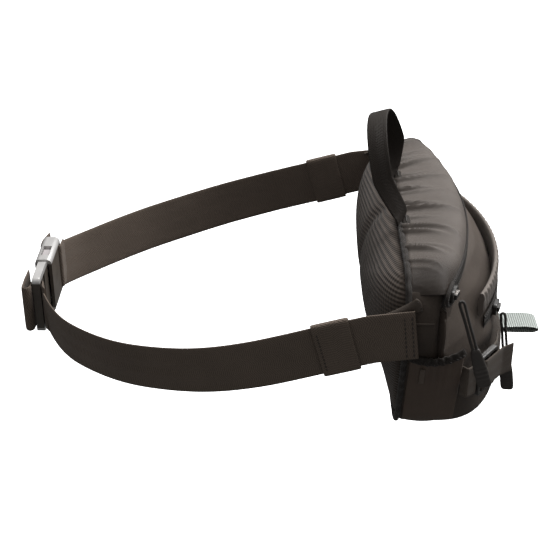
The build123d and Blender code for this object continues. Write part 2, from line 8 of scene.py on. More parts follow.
import bpy
import numpy as np
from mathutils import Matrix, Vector


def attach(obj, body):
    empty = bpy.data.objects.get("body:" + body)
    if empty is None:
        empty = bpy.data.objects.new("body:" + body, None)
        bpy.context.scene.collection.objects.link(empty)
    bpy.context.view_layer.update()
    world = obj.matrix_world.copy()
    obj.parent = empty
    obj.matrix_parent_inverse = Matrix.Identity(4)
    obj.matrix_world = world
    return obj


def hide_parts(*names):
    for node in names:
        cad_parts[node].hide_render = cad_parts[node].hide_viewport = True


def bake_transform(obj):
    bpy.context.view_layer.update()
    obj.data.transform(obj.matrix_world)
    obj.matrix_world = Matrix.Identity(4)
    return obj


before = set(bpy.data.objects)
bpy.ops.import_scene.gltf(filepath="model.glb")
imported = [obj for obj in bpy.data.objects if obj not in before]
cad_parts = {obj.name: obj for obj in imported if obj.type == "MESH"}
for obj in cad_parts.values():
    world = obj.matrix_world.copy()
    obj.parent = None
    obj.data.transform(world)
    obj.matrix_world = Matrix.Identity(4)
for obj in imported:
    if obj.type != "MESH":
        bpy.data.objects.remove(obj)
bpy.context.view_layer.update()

# Camera, floor and lights.
# The camera stands out to the left of the loop, well above it. The floor is plain and pale, and a wide
# soft box hangs above.
mm = 0.001
aim = Vector((0.0, -60.0, -8.0)) * mm
camera_raise = math.radians(29.5)
camera_turn = math.radians(0.7)
camera_distance = 950.0 * mm
towards = Vector(
    (
        -math.cos(camera_raise) * math.cos(camera_turn),
        -math.cos(camera_raise) * math.sin(camera_turn),
        math.sin(camera_raise),
    )
)
camera = bpy.data.objects.new("camera", bpy.data.cameras.new("camera"))
camera.data.lens = 79.5
camera.data.sensor_width = 36.0
camera.location = aim + towards * camera_distance
camera.rotation_mode = "QUATERNION"
camera.rotation_quaternion = (-towards).to_track_quat("-Z", "Y")
bpy.context.scene.collection.objects.link(camera)
bpy.context.scene.camera = camera
bpy.context.scene.view_settings.view_transform = "Standard"


def soft_box(name, place, target, size, power):
    """A square area light at a place, turned to a target."""
    lamp = bpy.data.objects.new(name, bpy.data.lights.new(name, "AREA"))
    lamp.data.size = size
    lamp.data.energy = power
    lamp.location = place
    lamp.rotation_euler = (Vector(target) - Vector(place)).to_track_quat("-Z", "Y").to_euler()
    bpy.context.scene.collection.objects.link(lamp)


soft_box("box_above", (0.6, -0.7, 1.45), (0.0, -0.1, 0.0), 1.3, 58.0)
soft_box("box_front", (0.6, -1.7, 1.1), (0.0, -0.15, 0.0), 0.8, 12.0)
world = bpy.data.worlds.new("studio")
world.use_nodes = True
sky = world.node_tree
sky_point = sky.nodes.new("ShaderNodeTexCoord")
sky_split = sky.nodes.new("ShaderNodeSeparateXYZ")
sky_fall = sky.nodes.new("ShaderNodeMapRange")
sky.links.new(sky_point.outputs["Generated"], sky_split.inputs[0])
sky.links.new(sky_split.outputs["Z"], sky_fall.inputs["Value"])
sky.links.new(sky_fall.outputs[0], sky.nodes["Background"].inputs["Strength"])
for label, value in {"From Min": -0.3, "From Max": 0.9, "To Min": 0.14, "To Max": 0.56}.items():
    sky_fall.inputs[label].default_value = value
sky.nodes["Background"].inputs["Color"].default_value = (1.0, 1.0, 1.0, 1.0)
bpy.context.scene.world = world


def mesh_object(name, points, faces, corner_uv=None):
    """A mesh object at the origin from points in millimetres, faces and a UV for each face corner.

    It is shaded smooth, with edges of more than 40 degrees left sharp.
    """
    mesh = bpy.data.meshes.new(name)
    mesh.from_pydata((np.asarray(points, float) * mm).tolist(), [], faces)
    if corner_uv is not None:
        layer = mesh.uv_layers.new(name="cloth")
        layer.data.foreach_set("uv", np.asarray(corner_uv, np.float32).ravel())
    mesh.polygons.foreach_set("use_smooth", np.ones(len(mesh.polygons), bool))
    mesh.set_sharp_from_angle(angle=math.radians(40.0))
    mesh.update()
    made = bpy.data.objects.new(name, mesh)
    bpy.context.scene.collection.objects.link(made)
    return made


class Wire:
    """One socket of a finish. Arithmetic on it adds Math nodes, in either order, so that 1 - mask
    works."""

    def __init__(self, finish, socket):
        self.finish = finish
        self.socket = socket

    def math(self, operation, *values):
        return self.finish.node("ShaderNodeMath", {"operation": operation}, dict(enumerate(values)))

    def __add__(self, other):
        return self.math("ADD", self, other)

    def __radd__(self, other):
        return self.math("ADD", other, self)

    def __sub__(self, other):
        return self.math("SUBTRACT", self, other)

    def __rsub__(self, other):
        return self.math("SUBTRACT", other, self)

    def __mul__(self, other):
        return self.math("MULTIPLY", self, other)

    def __truediv__(self, other):
        return self.math("DIVIDE", self, other)

    def __abs__(self):
        return self.math("ABSOLUTE", self)

    def sine(self):
        return self.math("SINE", self)

    def pingpong(self, scale):
        return self.math("PINGPONG", self, scale)

    def above(self, level, soft):
        """0 below a level and 1 above it, with a soft step."""
        return self.finish.node(
            "ShaderNodeMapRange",
            {"interpolation_type": "SMOOTHSTEP"},
            {"Value": self, "From Min": level - soft, "From Max": level + soft},
        )


class Finish:
    """A material under construction."""

    def __init__(self, name):
        self.material = bpy.data.materials.new(name)
        self.material.use_nodes = True
        self.tree = self.material.node_tree
        self.tree.nodes.clear()

    def node(self, kind, settings, sockets, out=0):
        """Adds a node of a type: its settings first, then a value or a wire for each named or
        numbered socket."""
        made = self.tree.nodes.new(kind)
        for key, value in settings.items():
            setattr(made, key, value)
        for key, value in sockets.items():
            if isinstance(value, Wire):
                self.tree.links.new(value.socket, made.inputs[key])
            else:
                made.inputs[key].default_value = value
        return Wire(self, made.outputs[out])

    def split(self, wire):
        """The three numbers of a vector."""
        made = self.node("ShaderNodeSeparateXYZ", {}, {0: wire})
        outputs = made.socket.node.outputs
        return [Wire(self, outputs[k]) for k in range(3)]

    def object_point(self):
        return self.node("ShaderNodeTexCoord", {}, {}, out="Object")

    def cloth_point(self):
        return self.node("ShaderNodeUVMap", {"uv_map": "cloth"}, {})

    def noise(self, point, scale, detail=3.0, roughness=0.55):
        sockets = {"Vector": point, "Scale": scale, "Detail": detail, "Roughness": roughness}
        return self.node("ShaderNodeTexNoise", {}, sockets)

    def tint(self, factor, dark, light):
        """A colour between two by a factor. Each is three numbers or a wire."""
        first, second = (end if isinstance(end, Wire) else (*end, 1.0) for end in (dark, light))
        return self.node(
            "ShaderNodeMix", {"data_type": "RGBA"}, {0: factor, 6: first, 7: second}, out=2
        )

    def close(self, sockets, height=None, depth=0.0002, strength=1.0):
        """Joins the Principled surface, with a bump from a height if there is one, and returns the
        material."""
        if height is not None:
            sockets["Normal"] = self.node(
                "ShaderNodeBump", {}, {"Height": height, "Distance": depth, "Strength": strength}
            )
        surface_wire = self.node("ShaderNodeBsdfPrincipled", {}, sockets)
        end = self.tree.nodes.new("ShaderNodeOutputMaterial")
        self.tree.links.new(surface_wire.socket, end.inputs["Surface"])
        return self.material


def paint(made, material):
    """Gives a piece its one material, and returns the piece."""
    made.data.materials.clear()
    made.data.materials.append(material)
    return made


floor_finish = Finish("pale_floor")
floor_material = floor_finish.close(
    {
        "Base Color": (0.92, 0.92, 0.92, 1.0),
        "Roughness": 0.9,
        "Emission Color": (1.0, 1.0, 1.0, 1.0),
        "Emission Strength": 0.5,
    }
)
floor_half = 4000.0
floor_level = -300.0
floor_corners = np.array([[-1, -1], [1, -1], [1, 1], [-1, 1]]) * floor_half
floor_points = np.column_stack([floor_corners, np.full(4, floor_level)])
floor = paint(mesh_object("floor", floor_points, [[0, 1, 2, 3]]), floor_material)
floor.visible_diffuse = False
floor.visible_glossy = False


# Belt webbing: two lengths of one polyamide webbing, 38 mm wide, woven in a fine herringbone.
# Each is sewn flat to the bag's hip, runs straight past its keeper and curves round the waist to
# the buckle.
def webbing_finish(name, dark, light, pitch, sheen=0.08):
    """Herringbone webbing: slanted ridges that turn back every few threads, with uneven yarns and
    worn edges."""
    finish = Finish(name)
    u, v, _ = finish.split(finish.cloth_point())
    thread_u = u / (pitch * mm)
    thread_v = v / (pitch * mm)
    slant = thread_v.pingpong(4.0)
    ridge = ((thread_u + slant * 0.5) * (2.0 * math.pi)).sine() * 0.5 + 0.5
    column = abs((thread_v * math.pi).sine())
    yarn = finish.noise(finish.cloth_point(), 900.0, 4.0)
    wear = finish.noise(finish.object_point(), 35.0, 3.0)
    height = ridge * 0.6 + column * 0.3 + yarn * 0.25
    shade = ridge * 0.45 + yarn * 0.5 + wear * 0.35 - 0.2
    return finish.close(
        {
            "Base Color": finish.tint(shade, dark, light),
            "Roughness": 0.62 + wear * 0.2,
            "Sheen Weight": sheen,
            "Sheen Roughness": 0.4,
            "Specular IOR Level": 0.22,
        },
        height,
        depth=0.00035,
        strength=0.8,
    )


belt_material = webbing_finish("belt_webbing", (0.052, 0.039, 0.030), (0.150, 0.117, 0.093), 1.5)


def flat_profile(width, thickness, count=20, edge=7.0):
    """A closed flat profile with round edges, as (count, 2): across the width, out through the
    thickness.

    Across is half the width times cos(a)^(2 / edge), and out is half the thickness times sin(a)^(2
    / 2.6).
    """
    a = np.linspace(0, 2 * np.pi, count, endpoint=False) + np.pi / count
    across = np.sign(np.cos(a)) * np.abs(np.cos(a)) ** (2 / edge) * width / 2
    out = np.sign(np.sin(a)) * np.abs(np.sin(a)) ** (2 / 2.6) * thickness / 2
    return np.column_stack([across, out])


def surface(name, grid, ring=False, loop=False):
    """A mesh from a grid of points (rows, columns, xyz): each cell is one quad.

    With ring each row is a closed profile, and the first and last rows get a cap; with loop the
    rows join
    up as well. The UV map holds the distance along the rows' path and round the profile, in metres.
    """
    full = np.concatenate([grid, grid[:, :1]], axis=1) if ring else grid
    full = np.concatenate([full, full[:1]], axis=0) if loop else full
    rows, columns = full.shape[:2]
    along = np.concatenate([[0], np.cumsum(np.linalg.norm(np.diff(full, axis=0), axis=2).mean(1))])
    across = np.zeros((rows, columns))
    across[:, 1:] = np.cumsum(np.linalg.norm(np.diff(full, axis=1), axis=2), axis=1)
    i, j = np.meshgrid(np.arange(rows - 1), np.arange(columns - 1), indexing="ij")
    corner_i = np.stack([i, i + 1, i + 1, i], axis=-1).reshape(-1, 4)
    corner_j = np.stack([j, j, j + 1, j + 1], axis=-1).reshape(-1, 4)
    count_i, count_j = grid.shape[:2]
    index = (corner_i % count_i) * count_j + corner_j % count_j
    uv = np.stack([along[corner_i], across[corner_i, corner_j]], axis=-1).reshape(-1, 2) * mm
    faces = index.tolist()
    if ring and not loop:
        faces.append(list(range(count_j - 1, -1, -1)))
        faces.append(list(range((count_i - 1) * count_j, count_i * count_j)))
        uv = np.concatenate([uv, np.zeros((2 * count_j, 2))])
    return mesh_object(name, grid.reshape(-1, 3), faces, uv)


def band(name, path, across, out, profile, loop=False):
    """A profile carried along a path: path + across * its first number + out * its second.

    Across and out are a direction for each station, or one direction for them all.
    """
    across = np.broadcast_to(across, path.shape)
    out = np.broadcast_to(out, path.shape)
    grid = (
        path[:, None, :]
        + across[:, None, :] * profile[None, :, 0, None]
        + out[:, None, :] * profile[None, :, 1, None]
    )
    return surface(name, grid, ring=True, loop=loop)


def unit(vectors):
    """Vectors made one long."""
    return vectors / np.linalg.norm(vectors, axis=-1, keepdims=True)


hip_x, hip_y, hip_z = 135.1, -127.0, 19.0
belt_slope = 0.27
straight_end = -60.0
round_power = 1.87
round_depth = 183.0
belt_low, belt_low_y = -24.0, 90.0
belt_fall = 24.91
belt_fall_power = 1.626
belt_width, belt_thick = 38.0, 1.8


def belt_level(y):
    """Height of the belt's middle: nearly level on the bag, a straight fall from the hip, then a
    power."""
    level = np.where(y < hip_y, hip_z + 0.12 * (hip_y - y), hip_z - belt_slope * (y - hip_y))
    share = np.clip((belt_low_y - y) / (belt_low_y - straight_end), 0, 1)
    level = np.where(y > straight_end, belt_low + belt_fall * share**belt_fall_power, level)
    return np.where(y > belt_low_y, belt_low + 7.0 * ((y - belt_low_y) / 30.0) ** 2, level)


def belt_line(side, first_y, last_x, stations):
    """The belt's middle from the hip to the buckle, with its width's and its thickness's directions.

    Straight at x = hip_x up to straight_end, then x = hip_x sin(a)^(2/p) and y = end + depth
    cos(a)^(2/p).
    """
    straight = np.linspace(first_y, straight_end, stations // 3, endpoint=False)
    last = math.asin((last_x / hip_x) ** (round_power / 2))
    a = np.linspace(math.pi / 2, last, stations - len(straight))
    x = np.concatenate([np.full(len(straight), hip_x), hip_x * np.sin(a) ** (2 / round_power)])
    bend = round_depth * np.clip(np.cos(a), 0, 1) ** (2 / round_power)
    y = np.concatenate([straight, straight_end + bend])
    lean = np.concatenate([np.zeros(len(straight)), np.radians(8.0) * np.sin(2 * (math.pi / 2 - a))])
    path = np.column_stack([side * x, y, belt_level(y)])
    run = unit(np.gradient(path, axis=0))
    up = unit(np.array([0, 0, 1.0]) - run * run[:, 2:3])
    out = np.cross(run, up) * -side
    out *= np.sign(np.sum(out * path * [1, 1, 0], axis=1, keepdims=True) + 1e-9)
    c, s = np.cos(lean)[:, None], np.sin(lean)[:, None]
    return path, up * c + out * s, out * c - up * s


both_sides = ((-1, "left"), (1, "right"))
for side, name in both_sides:
    path, across, out = belt_line(side, -157.0, 39.0, 120)
    ripple = 0.35 * np.sin(np.linspace(0, 9.0, len(path))) * np.sin(np.linspace(0, 23.0, len(path)))
    path = path + out * ripple[:, None]
    profile = flat_profile(belt_width, belt_thick, 28, 12.0)
    strap = paint(band(f"belt_webbing_{name}", path, across, out, profile), belt_material)
    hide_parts(f"belt_strap_{name}", f"hip_anchor_{name}")
    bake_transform(strap)


# Stitching: bonded thread, each stitch a small bowed capsule that lies half in the cloth.
thread_finish = Finish("bonded_thread")
thread_fibre = thread_finish.noise(thread_finish.object_point(), 700.0)
thread_colour = thread_finish.tint(thread_fibre, (0.010, 0.008, 0.006), (0.030, 0.023, 0.018))
thread_material = thread_finish.close({"Base Color": thread_colour, "Roughness": 0.6})


def distances(path):
    """The distance along a path at each of its points."""
    return np.concatenate([[0], np.cumsum(np.linalg.norm(np.diff(path, axis=0), axis=1))])


def places_at(where, steps, path):
    """The points of a path at some distances along it."""
    return np.stack([np.interp(where, steps, path[:, k]) for k in range(path.shape[1])], axis=-1)


def capsules(name, spine, away, wide, radius):
    """Closed six-sided capsules as one mesh: five stations on each spine, and a radius for each
    station."""
    a = np.linspace(0, 2 * np.pi, 6, endpoint=False)
    round_about = away[:, :, None] * np.sin(a)[:, None] + wide[:, :, None] * np.cos(a)[:, None]
    points = spine[:, :, None] + round_about * radius[:, None, None]
    i, j = np.meshgrid(np.arange(4), np.arange(6), indexing="ij")
    after = (j + 1) % 6
    quads = np.stack([i * 6 + j, (i + 1) * 6 + j, (i + 1) * 6 + after, i * 6 + after], axis=-1)
    ends = np.array([[0, 1, 2, 3, 4, 5], [29, 28, 27, 26, 25, 24]])
    base = (np.arange(len(spine)) * 30)[:, None, None]
    faces = (base + quads.reshape(1, -1, 4)).reshape(-1, 4).tolist()
    faces += (base + ends[None]).reshape(-1, 6).tolist()
    return mesh_object(name, points.reshape(-1, 3), faces)


def stitches(name, path, out, body, length=2.6, pitch=3.6, thick=0.42, slant=0.0):
    """A row of stitches along a path: capsules one pitch apart, each bowed outwards, made as one mesh.

    At a share s of a stitch its radius is thick times (1 - (2 s - 1)^4)^(1/2), and its height out
    of the
    cloth is 0.6 thick (1 - (2 s - 1)^2).
    """
    steps = distances(path)
    centres = np.arange(pitch / 2, steps[-1], pitch)
    share = np.array([0.0, 0.12, 0.5, 0.88, 1.0])
    where = centres[:, None] + (share - 0.5) * length
    line = places_at(where, steps, path)
    away = unit(places_at(where, steps, np.broadcast_to(out, path.shape)))
    run = unit(line[:, -1:] - line[:, :1]) * np.ones_like(line)
    wide = unit(np.cross(run, away))
    radius = thick * np.sqrt(np.clip(1 - (2 * share - 1) ** 4, 0.02, 1))
    bow = 0.6 * thick * (1 - (2 * share - 1) ** 2)
    spine = line + wide * ((share - 0.5) * slant)[:, None] + away * bow[:, None]
    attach(paint(capsules(name, spine, away, wide, radius), thread_material), body)


for side, name in both_sides:
    for label, y in (("end", -154.5), ("back", -149.5)):
        middle = np.array([side * (hip_x + 1.0), y, float(belt_level(np.array(y)))])
        line = middle + np.linspace(-17.0, 17.0, 30)[:, None] * np.array([0, 0.1, 1.0])
        stitches(f"hip_stitches_{label}_{name}", line, [side, 0, 0], "pack")


# Keepers: short loops of the same webbing that hold the belt's doubled end; each slides on the belt.
keeper_start, keeper_length, keeper_wall, keeper_play = 12.0, 26.0, 1.3, 0.6
keeper_off = keeper_play + keeper_wall / 2
for side, name in both_sides:
    run = unit(np.array([0, 1.0, -belt_slope]))
    up = np.cross(np.array([1.0, 0, 0]), run)
    middle = np.array([side * hip_x, hip_y, hip_z]) + run * (keeper_start + keeper_length / 2)
    a = np.linspace(0, 2 * np.pi, 64, endpoint=False)
    thick_way = np.sign(np.cos(a)) * np.abs(np.cos(a)) ** (2 / 3.0) * (belt_thick / 2 + keeper_off)
    wide_way = np.sign(np.sin(a)) * np.abs(np.sin(a)) ** (2 / 14.0) * (belt_width / 2 + keeper_off)
    loop_path = middle + thick_way[:, None] * np.array([1.0, 0, 0]) + wide_way[:, None] * up
    loop_run = unit(np.roll(loop_path, -1, 0) - np.roll(loop_path, 1, 0))
    outwards = np.cross(loop_run, run)
    outwards *= np.sign(np.sum(outwards * (loop_path - middle), axis=1, keepdims=True))
    profile = flat_profile(keeper_length, keeper_wall, 16, 10.0)
    keeper = band(f"keeper_webbing_{name}", loop_path, run, outwards, profile, loop=True)
    paint(keeper, belt_material)
    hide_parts(f"keeper_{name}")
    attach(keeper, f"{name}_keeper")
    face_x = side * (belt_thick / 2 + keeper_play + keeper_wall)
    face = middle + run * (keeper_length / 2 - 3.0) + np.array([face_x, 0, 0])
    line = face + np.linspace(-16.0, 16.0, 24)[:, None] * up
    stitches(f"keeper_stitches_{name}", line, [side, 0, 0], f"{name}_keeper", 1.8, 2.8)


# Main compartment: dark polyamide side, base and front panels, sewn to the back panel and to the lid.
# Its back view is a rounded hexagon, widest at the hips; its front follows a long plan arc.
base_z, lid_z, top_z = -84.0, 46.5, 58.0
seam_y = -152.0
plan_radius, plan_y = 313.0, 111.0


def outline_ring(grow, count):
    """The bag's back view as a ring of (x, z), stepped evenly: a six-cornered polygon with arcs for
    corners.

    It starts at the middle of the base and goes to +X, over the top and back.
    """
    right = [(92.0, base_z), (131.5, 20.0), (124.0, top_z)]
    corners = np.array(right + [(-x, z) for x, z in reversed(right)])
    radius = 26.0
    before = unit(corners - np.roll(corners, 1, 0))
    after = unit(np.roll(corners, -1, 0) - corners)
    turn = np.arccos(np.clip(np.sum(before * after, axis=1), -1, 1))
    start = corners - before * (radius * np.tan(turn / 2))[:, None]
    inward = np.column_stack([-before[:, 1], before[:, 0]])
    centre = start + inward * radius
    share = np.linspace(0, 1, 12)
    angle = share[None, :] * turn[:, None]
    arc = (
        centre[:, None, :]
        - inward[:, None, :] * (np.cos(angle) * (radius + grow))[..., None]
        + before[:, None, :] * (np.sin(angle) * (radius + grow))[..., None]
    ).reshape(-1, 2)
    bottom = np.array([[0.0, base_z - grow]])
    ring = np.concatenate([bottom, arc, bottom])
    steps = distances(ring)
    return places_at(np.linspace(0, steps[-1], count, endpoint=False), steps, ring)


fine_ring = outline_ring(0.0, 1200)
between = (fine_ring[:, 1] > base_z + 0.01) & (fine_ring[:, 1] < top_z - 0.01)
right_side = fine_ring[(fine_ring[:, 0] > 20) & between]


def half_width(z):
    """Half the bag's width at a level."""
    return np.interp(z, right_side[:, 1], right_side[:, 0])


def front_arc(x):
    """The y of the main compartment's front at a place across."""
    return plan_y - np.sqrt(plan_radius**2 - x**2)


def shell_finish(name, dark, light, sheen, thread=0.55, wrinkle=0.5, rough=0.55, painted_shade_ends=None):
    """Plain-woven polyamide: fine crossing threads on the cloth's own map, with soft creases and a
    slight sheen.

    Given a distance for its last argument, the colour turns darker past that distance from the bag's
    middle, in millimetres: painted shade for the ends, where the lid turns down away from the light.
    """
    finish = Finish(name)
    u, v, _ = finish.split(finish.cloth_point())
    warp = (u * (2 * math.pi / (thread * mm))).sine()
    weft = (v * (2 * math.pi / (thread * mm))).sine()
    cloth = warp * weft * 0.5 + 0.5
    crease = finish.noise(finish.object_point(), 55.0, 5.0, 0.6)
    patch = finish.noise(finish.object_point(), 14.0, 3.0, 0.5)
    fibre = finish.noise(finish.cloth_point(), 2600.0, 2.0)
    shade = cloth * 0.25 + fibre * 0.35 + crease * 0.35 + patch * 0.35 - 0.2
    height = cloth * 0.16 + fibre * 0.08 + crease * wrinkle
    colour = finish.tint(shade, dark, light)
    # Painted shade: a darker copy of the cloth colour on the ends, where the lid turns down away from
    # the light.
    if painted_shade_ends is not None:
        x, _, _ = finish.split(finish.object_point())
        painted_shade_colour = finish.tint(shade, (0.014, 0.010, 0.0076), (0.036, 0.027, 0.021))
        colour = finish.tint(abs(x).above(painted_shade_ends * mm, 16.0 * mm), colour, painted_shade_colour)
    return finish.close(
        {
            "Base Color": colour,
            "Roughness": rough + patch * 0.15,
            "Sheen Weight": sheen,
            "Sheen Roughness": 0.35,
            "Specular IOR Level": 0.2,
        },
        height,
        depth=0.0009,
        strength=0.75,
    )


shell_material = shell_finish(
    "dark_polyamide", (0.027, 0.0205, 0.0160), (0.078, 0.061, 0.049), 0.03
)

ring_count = 260
side_fullness = 2.6
shell_ring = outline_ring(0.0, ring_count)
depth_share = np.concatenate([np.linspace(0, 0.86, 14), np.linspace(0.9, 1.0, 6)])
shell_rows = []
for share in depth_share:
    inset = 9.0 * (1 - np.sqrt(np.clip(1 - np.clip((share - 0.72) / 0.28, 0, 1) ** 2.2, 0, 1)))
    ring = outline_ring(side_fullness * np.sin(np.pi * share) ** 0.8 - inset, ring_count)
    ring[:, 1] = np.clip(ring[:, 1], base_z, lid_z + 3.0)
    edge_y = front_arc(np.abs(shell_ring[:, 0]))
    y = seam_y + (edge_y - seam_y) * share
    shell_rows.append(np.column_stack([ring[:, 0], y, ring[:, 1]]))
for share in (0.9, 0.7, 0.45, 0.2, 0.0):
    last = shell_rows[len(depth_share) - 1]
    inner = last * [share, 1, share] + np.array([0, 0, -13.0 * (1 - share)])
    inner[:, 1] = front_arc(np.abs(inner[:, 0]))
    shell_rows.append(inner)
first = shell_rows[0] * [0.9, 1, 0.9]
shell_grid = np.stack([first] + shell_rows)
shell = surface("main_panels", shell_grid[::-1], ring=True)
paint(shell, shell_material)
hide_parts("main_shell")
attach(shell, "pack")


# Lid: a lightly padded panel of lighter, slightly shiny polyamide. Its back edge is gathered into
# the back seam,
# so creases run forwards from there, and its front edge carries the main zip.
lid_dark, lid_light = (0.044, 0.036, 0.031), (0.106, 0.090, 0.078)
# The lid's ends, past 101 mm from the middle, get painted shade.
lid_material = shell_finish(
    "lid_polyamide", lid_dark, lid_light, 0.05, wrinkle=0.14, rough=0.40, painted_shade_ends=101.0
)


def lid_grid(across_count, depth_count, lift):
    """The lid from its back seam to its zip: a superellipse quarter in y and height for each place
    along the seam.

    It goes sin(f)^(2/n) of the way forwards and cos(f)^(2/n) of the drop, and it is puffed along the
    outline's normal by lift sin(pi s)^(3/4).
    """
    ring = outline_ring(0.0, 4000)
    upper = ring[ring[:, 1] > lid_z][::-1]
    steps = distances(upper)
    even = np.linspace(0, steps[-1], across_count)
    seam = places_at(even, steps, upper)
    normal = unit(np.column_stack([np.gradient(seam[:, 1]), -np.gradient(seam[:, 0])]))
    normal *= np.sign(normal[:, 1:2] + normal[:, :1] * np.sign(seam[:, :1]) + 1e-6)
    f = np.linspace(0, math.pi / 2, depth_count)
    power = 3.2
    ahead = np.sin(f) ** (2 / power)
    drop = np.cos(f) ** (2 / power)
    share = np.linspace(0, 1, depth_count)
    zip_x = seam[:, 0] * 0.975
    zip_y = front_arc(np.abs(zip_x))
    puff = lift * np.sin(np.pi * share) ** 0.75
    x = zip_x[:, None] + (seam[:, 0] - zip_x)[:, None] * drop[None] + normal[:, :1] * puff[None]
    z = lid_z + (seam[:, 1] - lid_z)[:, None] * drop[None] + normal[:, 1:2] * puff[None]
    y = seam_y + (zip_y - seam_y)[:, None] * ahead[None]
    return np.stack([x, y, z], axis=-1), normal, even, share


def gathers(even, share):
    """Creases of cloth gathered at the seam: thin ridges, unevenly spaced, that run forwards and
    out to the ends.

    A ridge is its height times exp(-|d|^1.3), with d the distance from its line over a width that
    grows forwards,
    and it fades as exp(-(share / reach)^2). Broad soft folds of sines lie between them.
    """
    middle = even[-1] / 2
    order = np.arange(26)
    start = 8.0 + 12.4 * order + 3.6 * np.sin(2.7 * order)
    ends = np.clip(np.minimum(start, even[-1] - start) / 34.0 - 0.2, 0, 1)
    height = (3.4 + 1.3 * np.sin(4.1 * order + 1.0)) * ends
    reach = 0.42 + 0.2 * np.sin(3.3 * order)
    drift = 26.0 * np.clip((start - middle) / 60.0, -1, 1) + 4.0 * np.sin(1.9 * order)
    line = start[:, None] + drift[:, None] * share[None]
    width = 1.5 + 4.0 * share[None]
    away = np.abs(even[None, :, None] - line[:, None, :]) / width[None]
    fade = np.exp(-((share[None] / reach[:, None]) ** 2))
    ridges = np.exp(-(away**1.3)) * (height[:, None] * fade)[:, None, :]
    e = even[:, None] + 9.0 * share[None] * np.sin(even[:, None] / 31.0)
    soft = np.sin(e / 11.0 + 2.0 * share[None]) * np.sin(e / 37.0 + 0.6)
    return ridges.sum(0) - 0.9 + 1.2 * soft * np.sin(np.pi * (share[None] * 0.96 + 0.04))


def thicken(made, thickness, offset=-1.0):
    """Gives a sheet its cloth thickness, inwards from the sheet unless the offset says otherwise."""
    cloth = made.modifiers.new("cloth_thickness", "SOLIDIFY")
    cloth.thickness = thickness * mm
    cloth.offset = offset


lid_points, lid_normal, lid_even, lid_share = lid_grid(420, 72, 5.5)
crease = gathers(lid_even, lid_share)
lid_points[..., 0] += lid_normal[:, :1] * crease
lid_points[..., 2] += lid_normal[:, 1:2] * crease
lid = surface("lid_panel", lid_points)
paint(lid, lid_material)
thicken(lid, 1.0)
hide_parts("top_panel")
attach(lid, "pack")


# Back pad: foam behind a ribbed spacer mesh, crowned, thick at the waist and thin towards the base.
def mesh_finish(name, dark, light):
    """Spacer mesh: ribs across the pad every 2.8 mm, each pierced by a staggered row of small
    openings."""
    finish = Finish(name)
    x, _, z = finish.split(finish.object_point())
    turns = 2 * math.pi / (2.8 * mm)
    rib = ((z + x * 0.12) * turns).sine() * 0.5 + 0.5
    hole = ((x - z * 0.5) * turns).sine() * 0.5 + 0.5
    fibre = finish.noise(finish.object_point(), 1400.0, 3.0)
    patch = finish.noise(finish.object_point(), 22.0, 3.0)
    shade = rib * 0.55 + hole * 0.2 + fibre * 0.25 + patch * 0.3 - 0.2
    return finish.close(
        {
            "Base Color": finish.tint(shade, dark, light),
            "Roughness": 0.8,
            "Sheen Weight": 0.1,
            "Sheen Roughness": 0.5,
            "Specular IOR Level": 0.2,
        },
        rib * 0.7 + hole * 0.3 + fibre * 0.2,
        depth=0.0009,
        strength=0.9,
    )


mesh_material = mesh_finish("spacer_mesh", (0.018, 0.0125, 0.009), (0.080, 0.062, 0.050))
pad_levels = np.array([-84.0, -74.0, -55.0, -29.0, 0.0, 23.0, 40.0, 52.0, 58.0])
pad_depths = np.array([1.0, 4.0, 9.0, 18.0, 27.0, 28.5, 25.5, 19.0, 10.0])


def pad_grid(ring_points, ring_count, grow):
    """The pad's back: the outline drawn in to its middle, standing off the seam by a depth set by
    level.

    At a share r of the way out it stands 0.93 depth(z) (1 - r^4)^(1/1.8), a little low so that it
    can swell.
    """
    r = np.sin(np.linspace(0, math.pi / 2, ring_count))[::-1]
    ring = outline_ring(grow, ring_points)
    centre = np.array([0.0, -8.0])
    flat = centre + (ring - centre)[None] * r[:, None, None]
    depth = np.interp(flat[..., 1], pad_levels, pad_depths)
    stand = 0.93 * depth * (1 - r[:, None] ** 4) ** (1 / 1.8)
    return np.stack([flat[..., 0], seam_y + 1.6 + stand, flat[..., 1]], axis=-1)


def place_of(mesh):
    """The points of a mesh as an array (count, 3), in metres."""
    points = np.empty(len(mesh.vertices) * 3)
    mesh.vertices.foreach_get("co", points)
    return points.reshape(-1, 3)


def swell(made, voxel, pressure, cap, held):
    """Swells a closed piece as cloth and returns its points: an even voxel copy, blown up for 20
    frames.

    There is no gravity, the points where held is true stay, and the others go at most cap millimetres.
    """
    even = made.modifiers.new("even", "REMESH")
    even.mode = "VOXEL"
    even.voxel_size = voxel * mm
    graph = bpy.context.evaluated_depsgraph_get()
    mesh = bpy.data.meshes.new_from_object(made.evaluated_get(graph))
    made.modifiers.clear()
    made.data = mesh
    points = place_of(mesh)
    group = made.vertex_groups.new(name="held")
    group.add(np.flatnonzero(held(points / mm)).tolist(), 1.0, "REPLACE")
    cloth = made.modifiers.new("cloth", "CLOTH")
    cloth.settings.use_pressure = True
    cloth.settings.uniform_pressure_force = pressure
    cloth.settings.effector_weights.gravity = 0.0
    cloth.settings.vertex_group_mass = "held"
    for step in range(1, 21):
        bpy.context.scene.frame_set(step)
    blown = place_of(made.evaluated_get(bpy.context.evaluated_depsgraph_get()).data)
    made.modifiers.clear()
    made.vertex_groups.clear()
    bpy.context.scene.frame_set(1)
    move = blown - points
    length = np.linalg.norm(move, axis=1, keepdims=True)
    points = points + move * np.minimum(1.0, cap * mm / np.maximum(length, 1e-9))
    return points


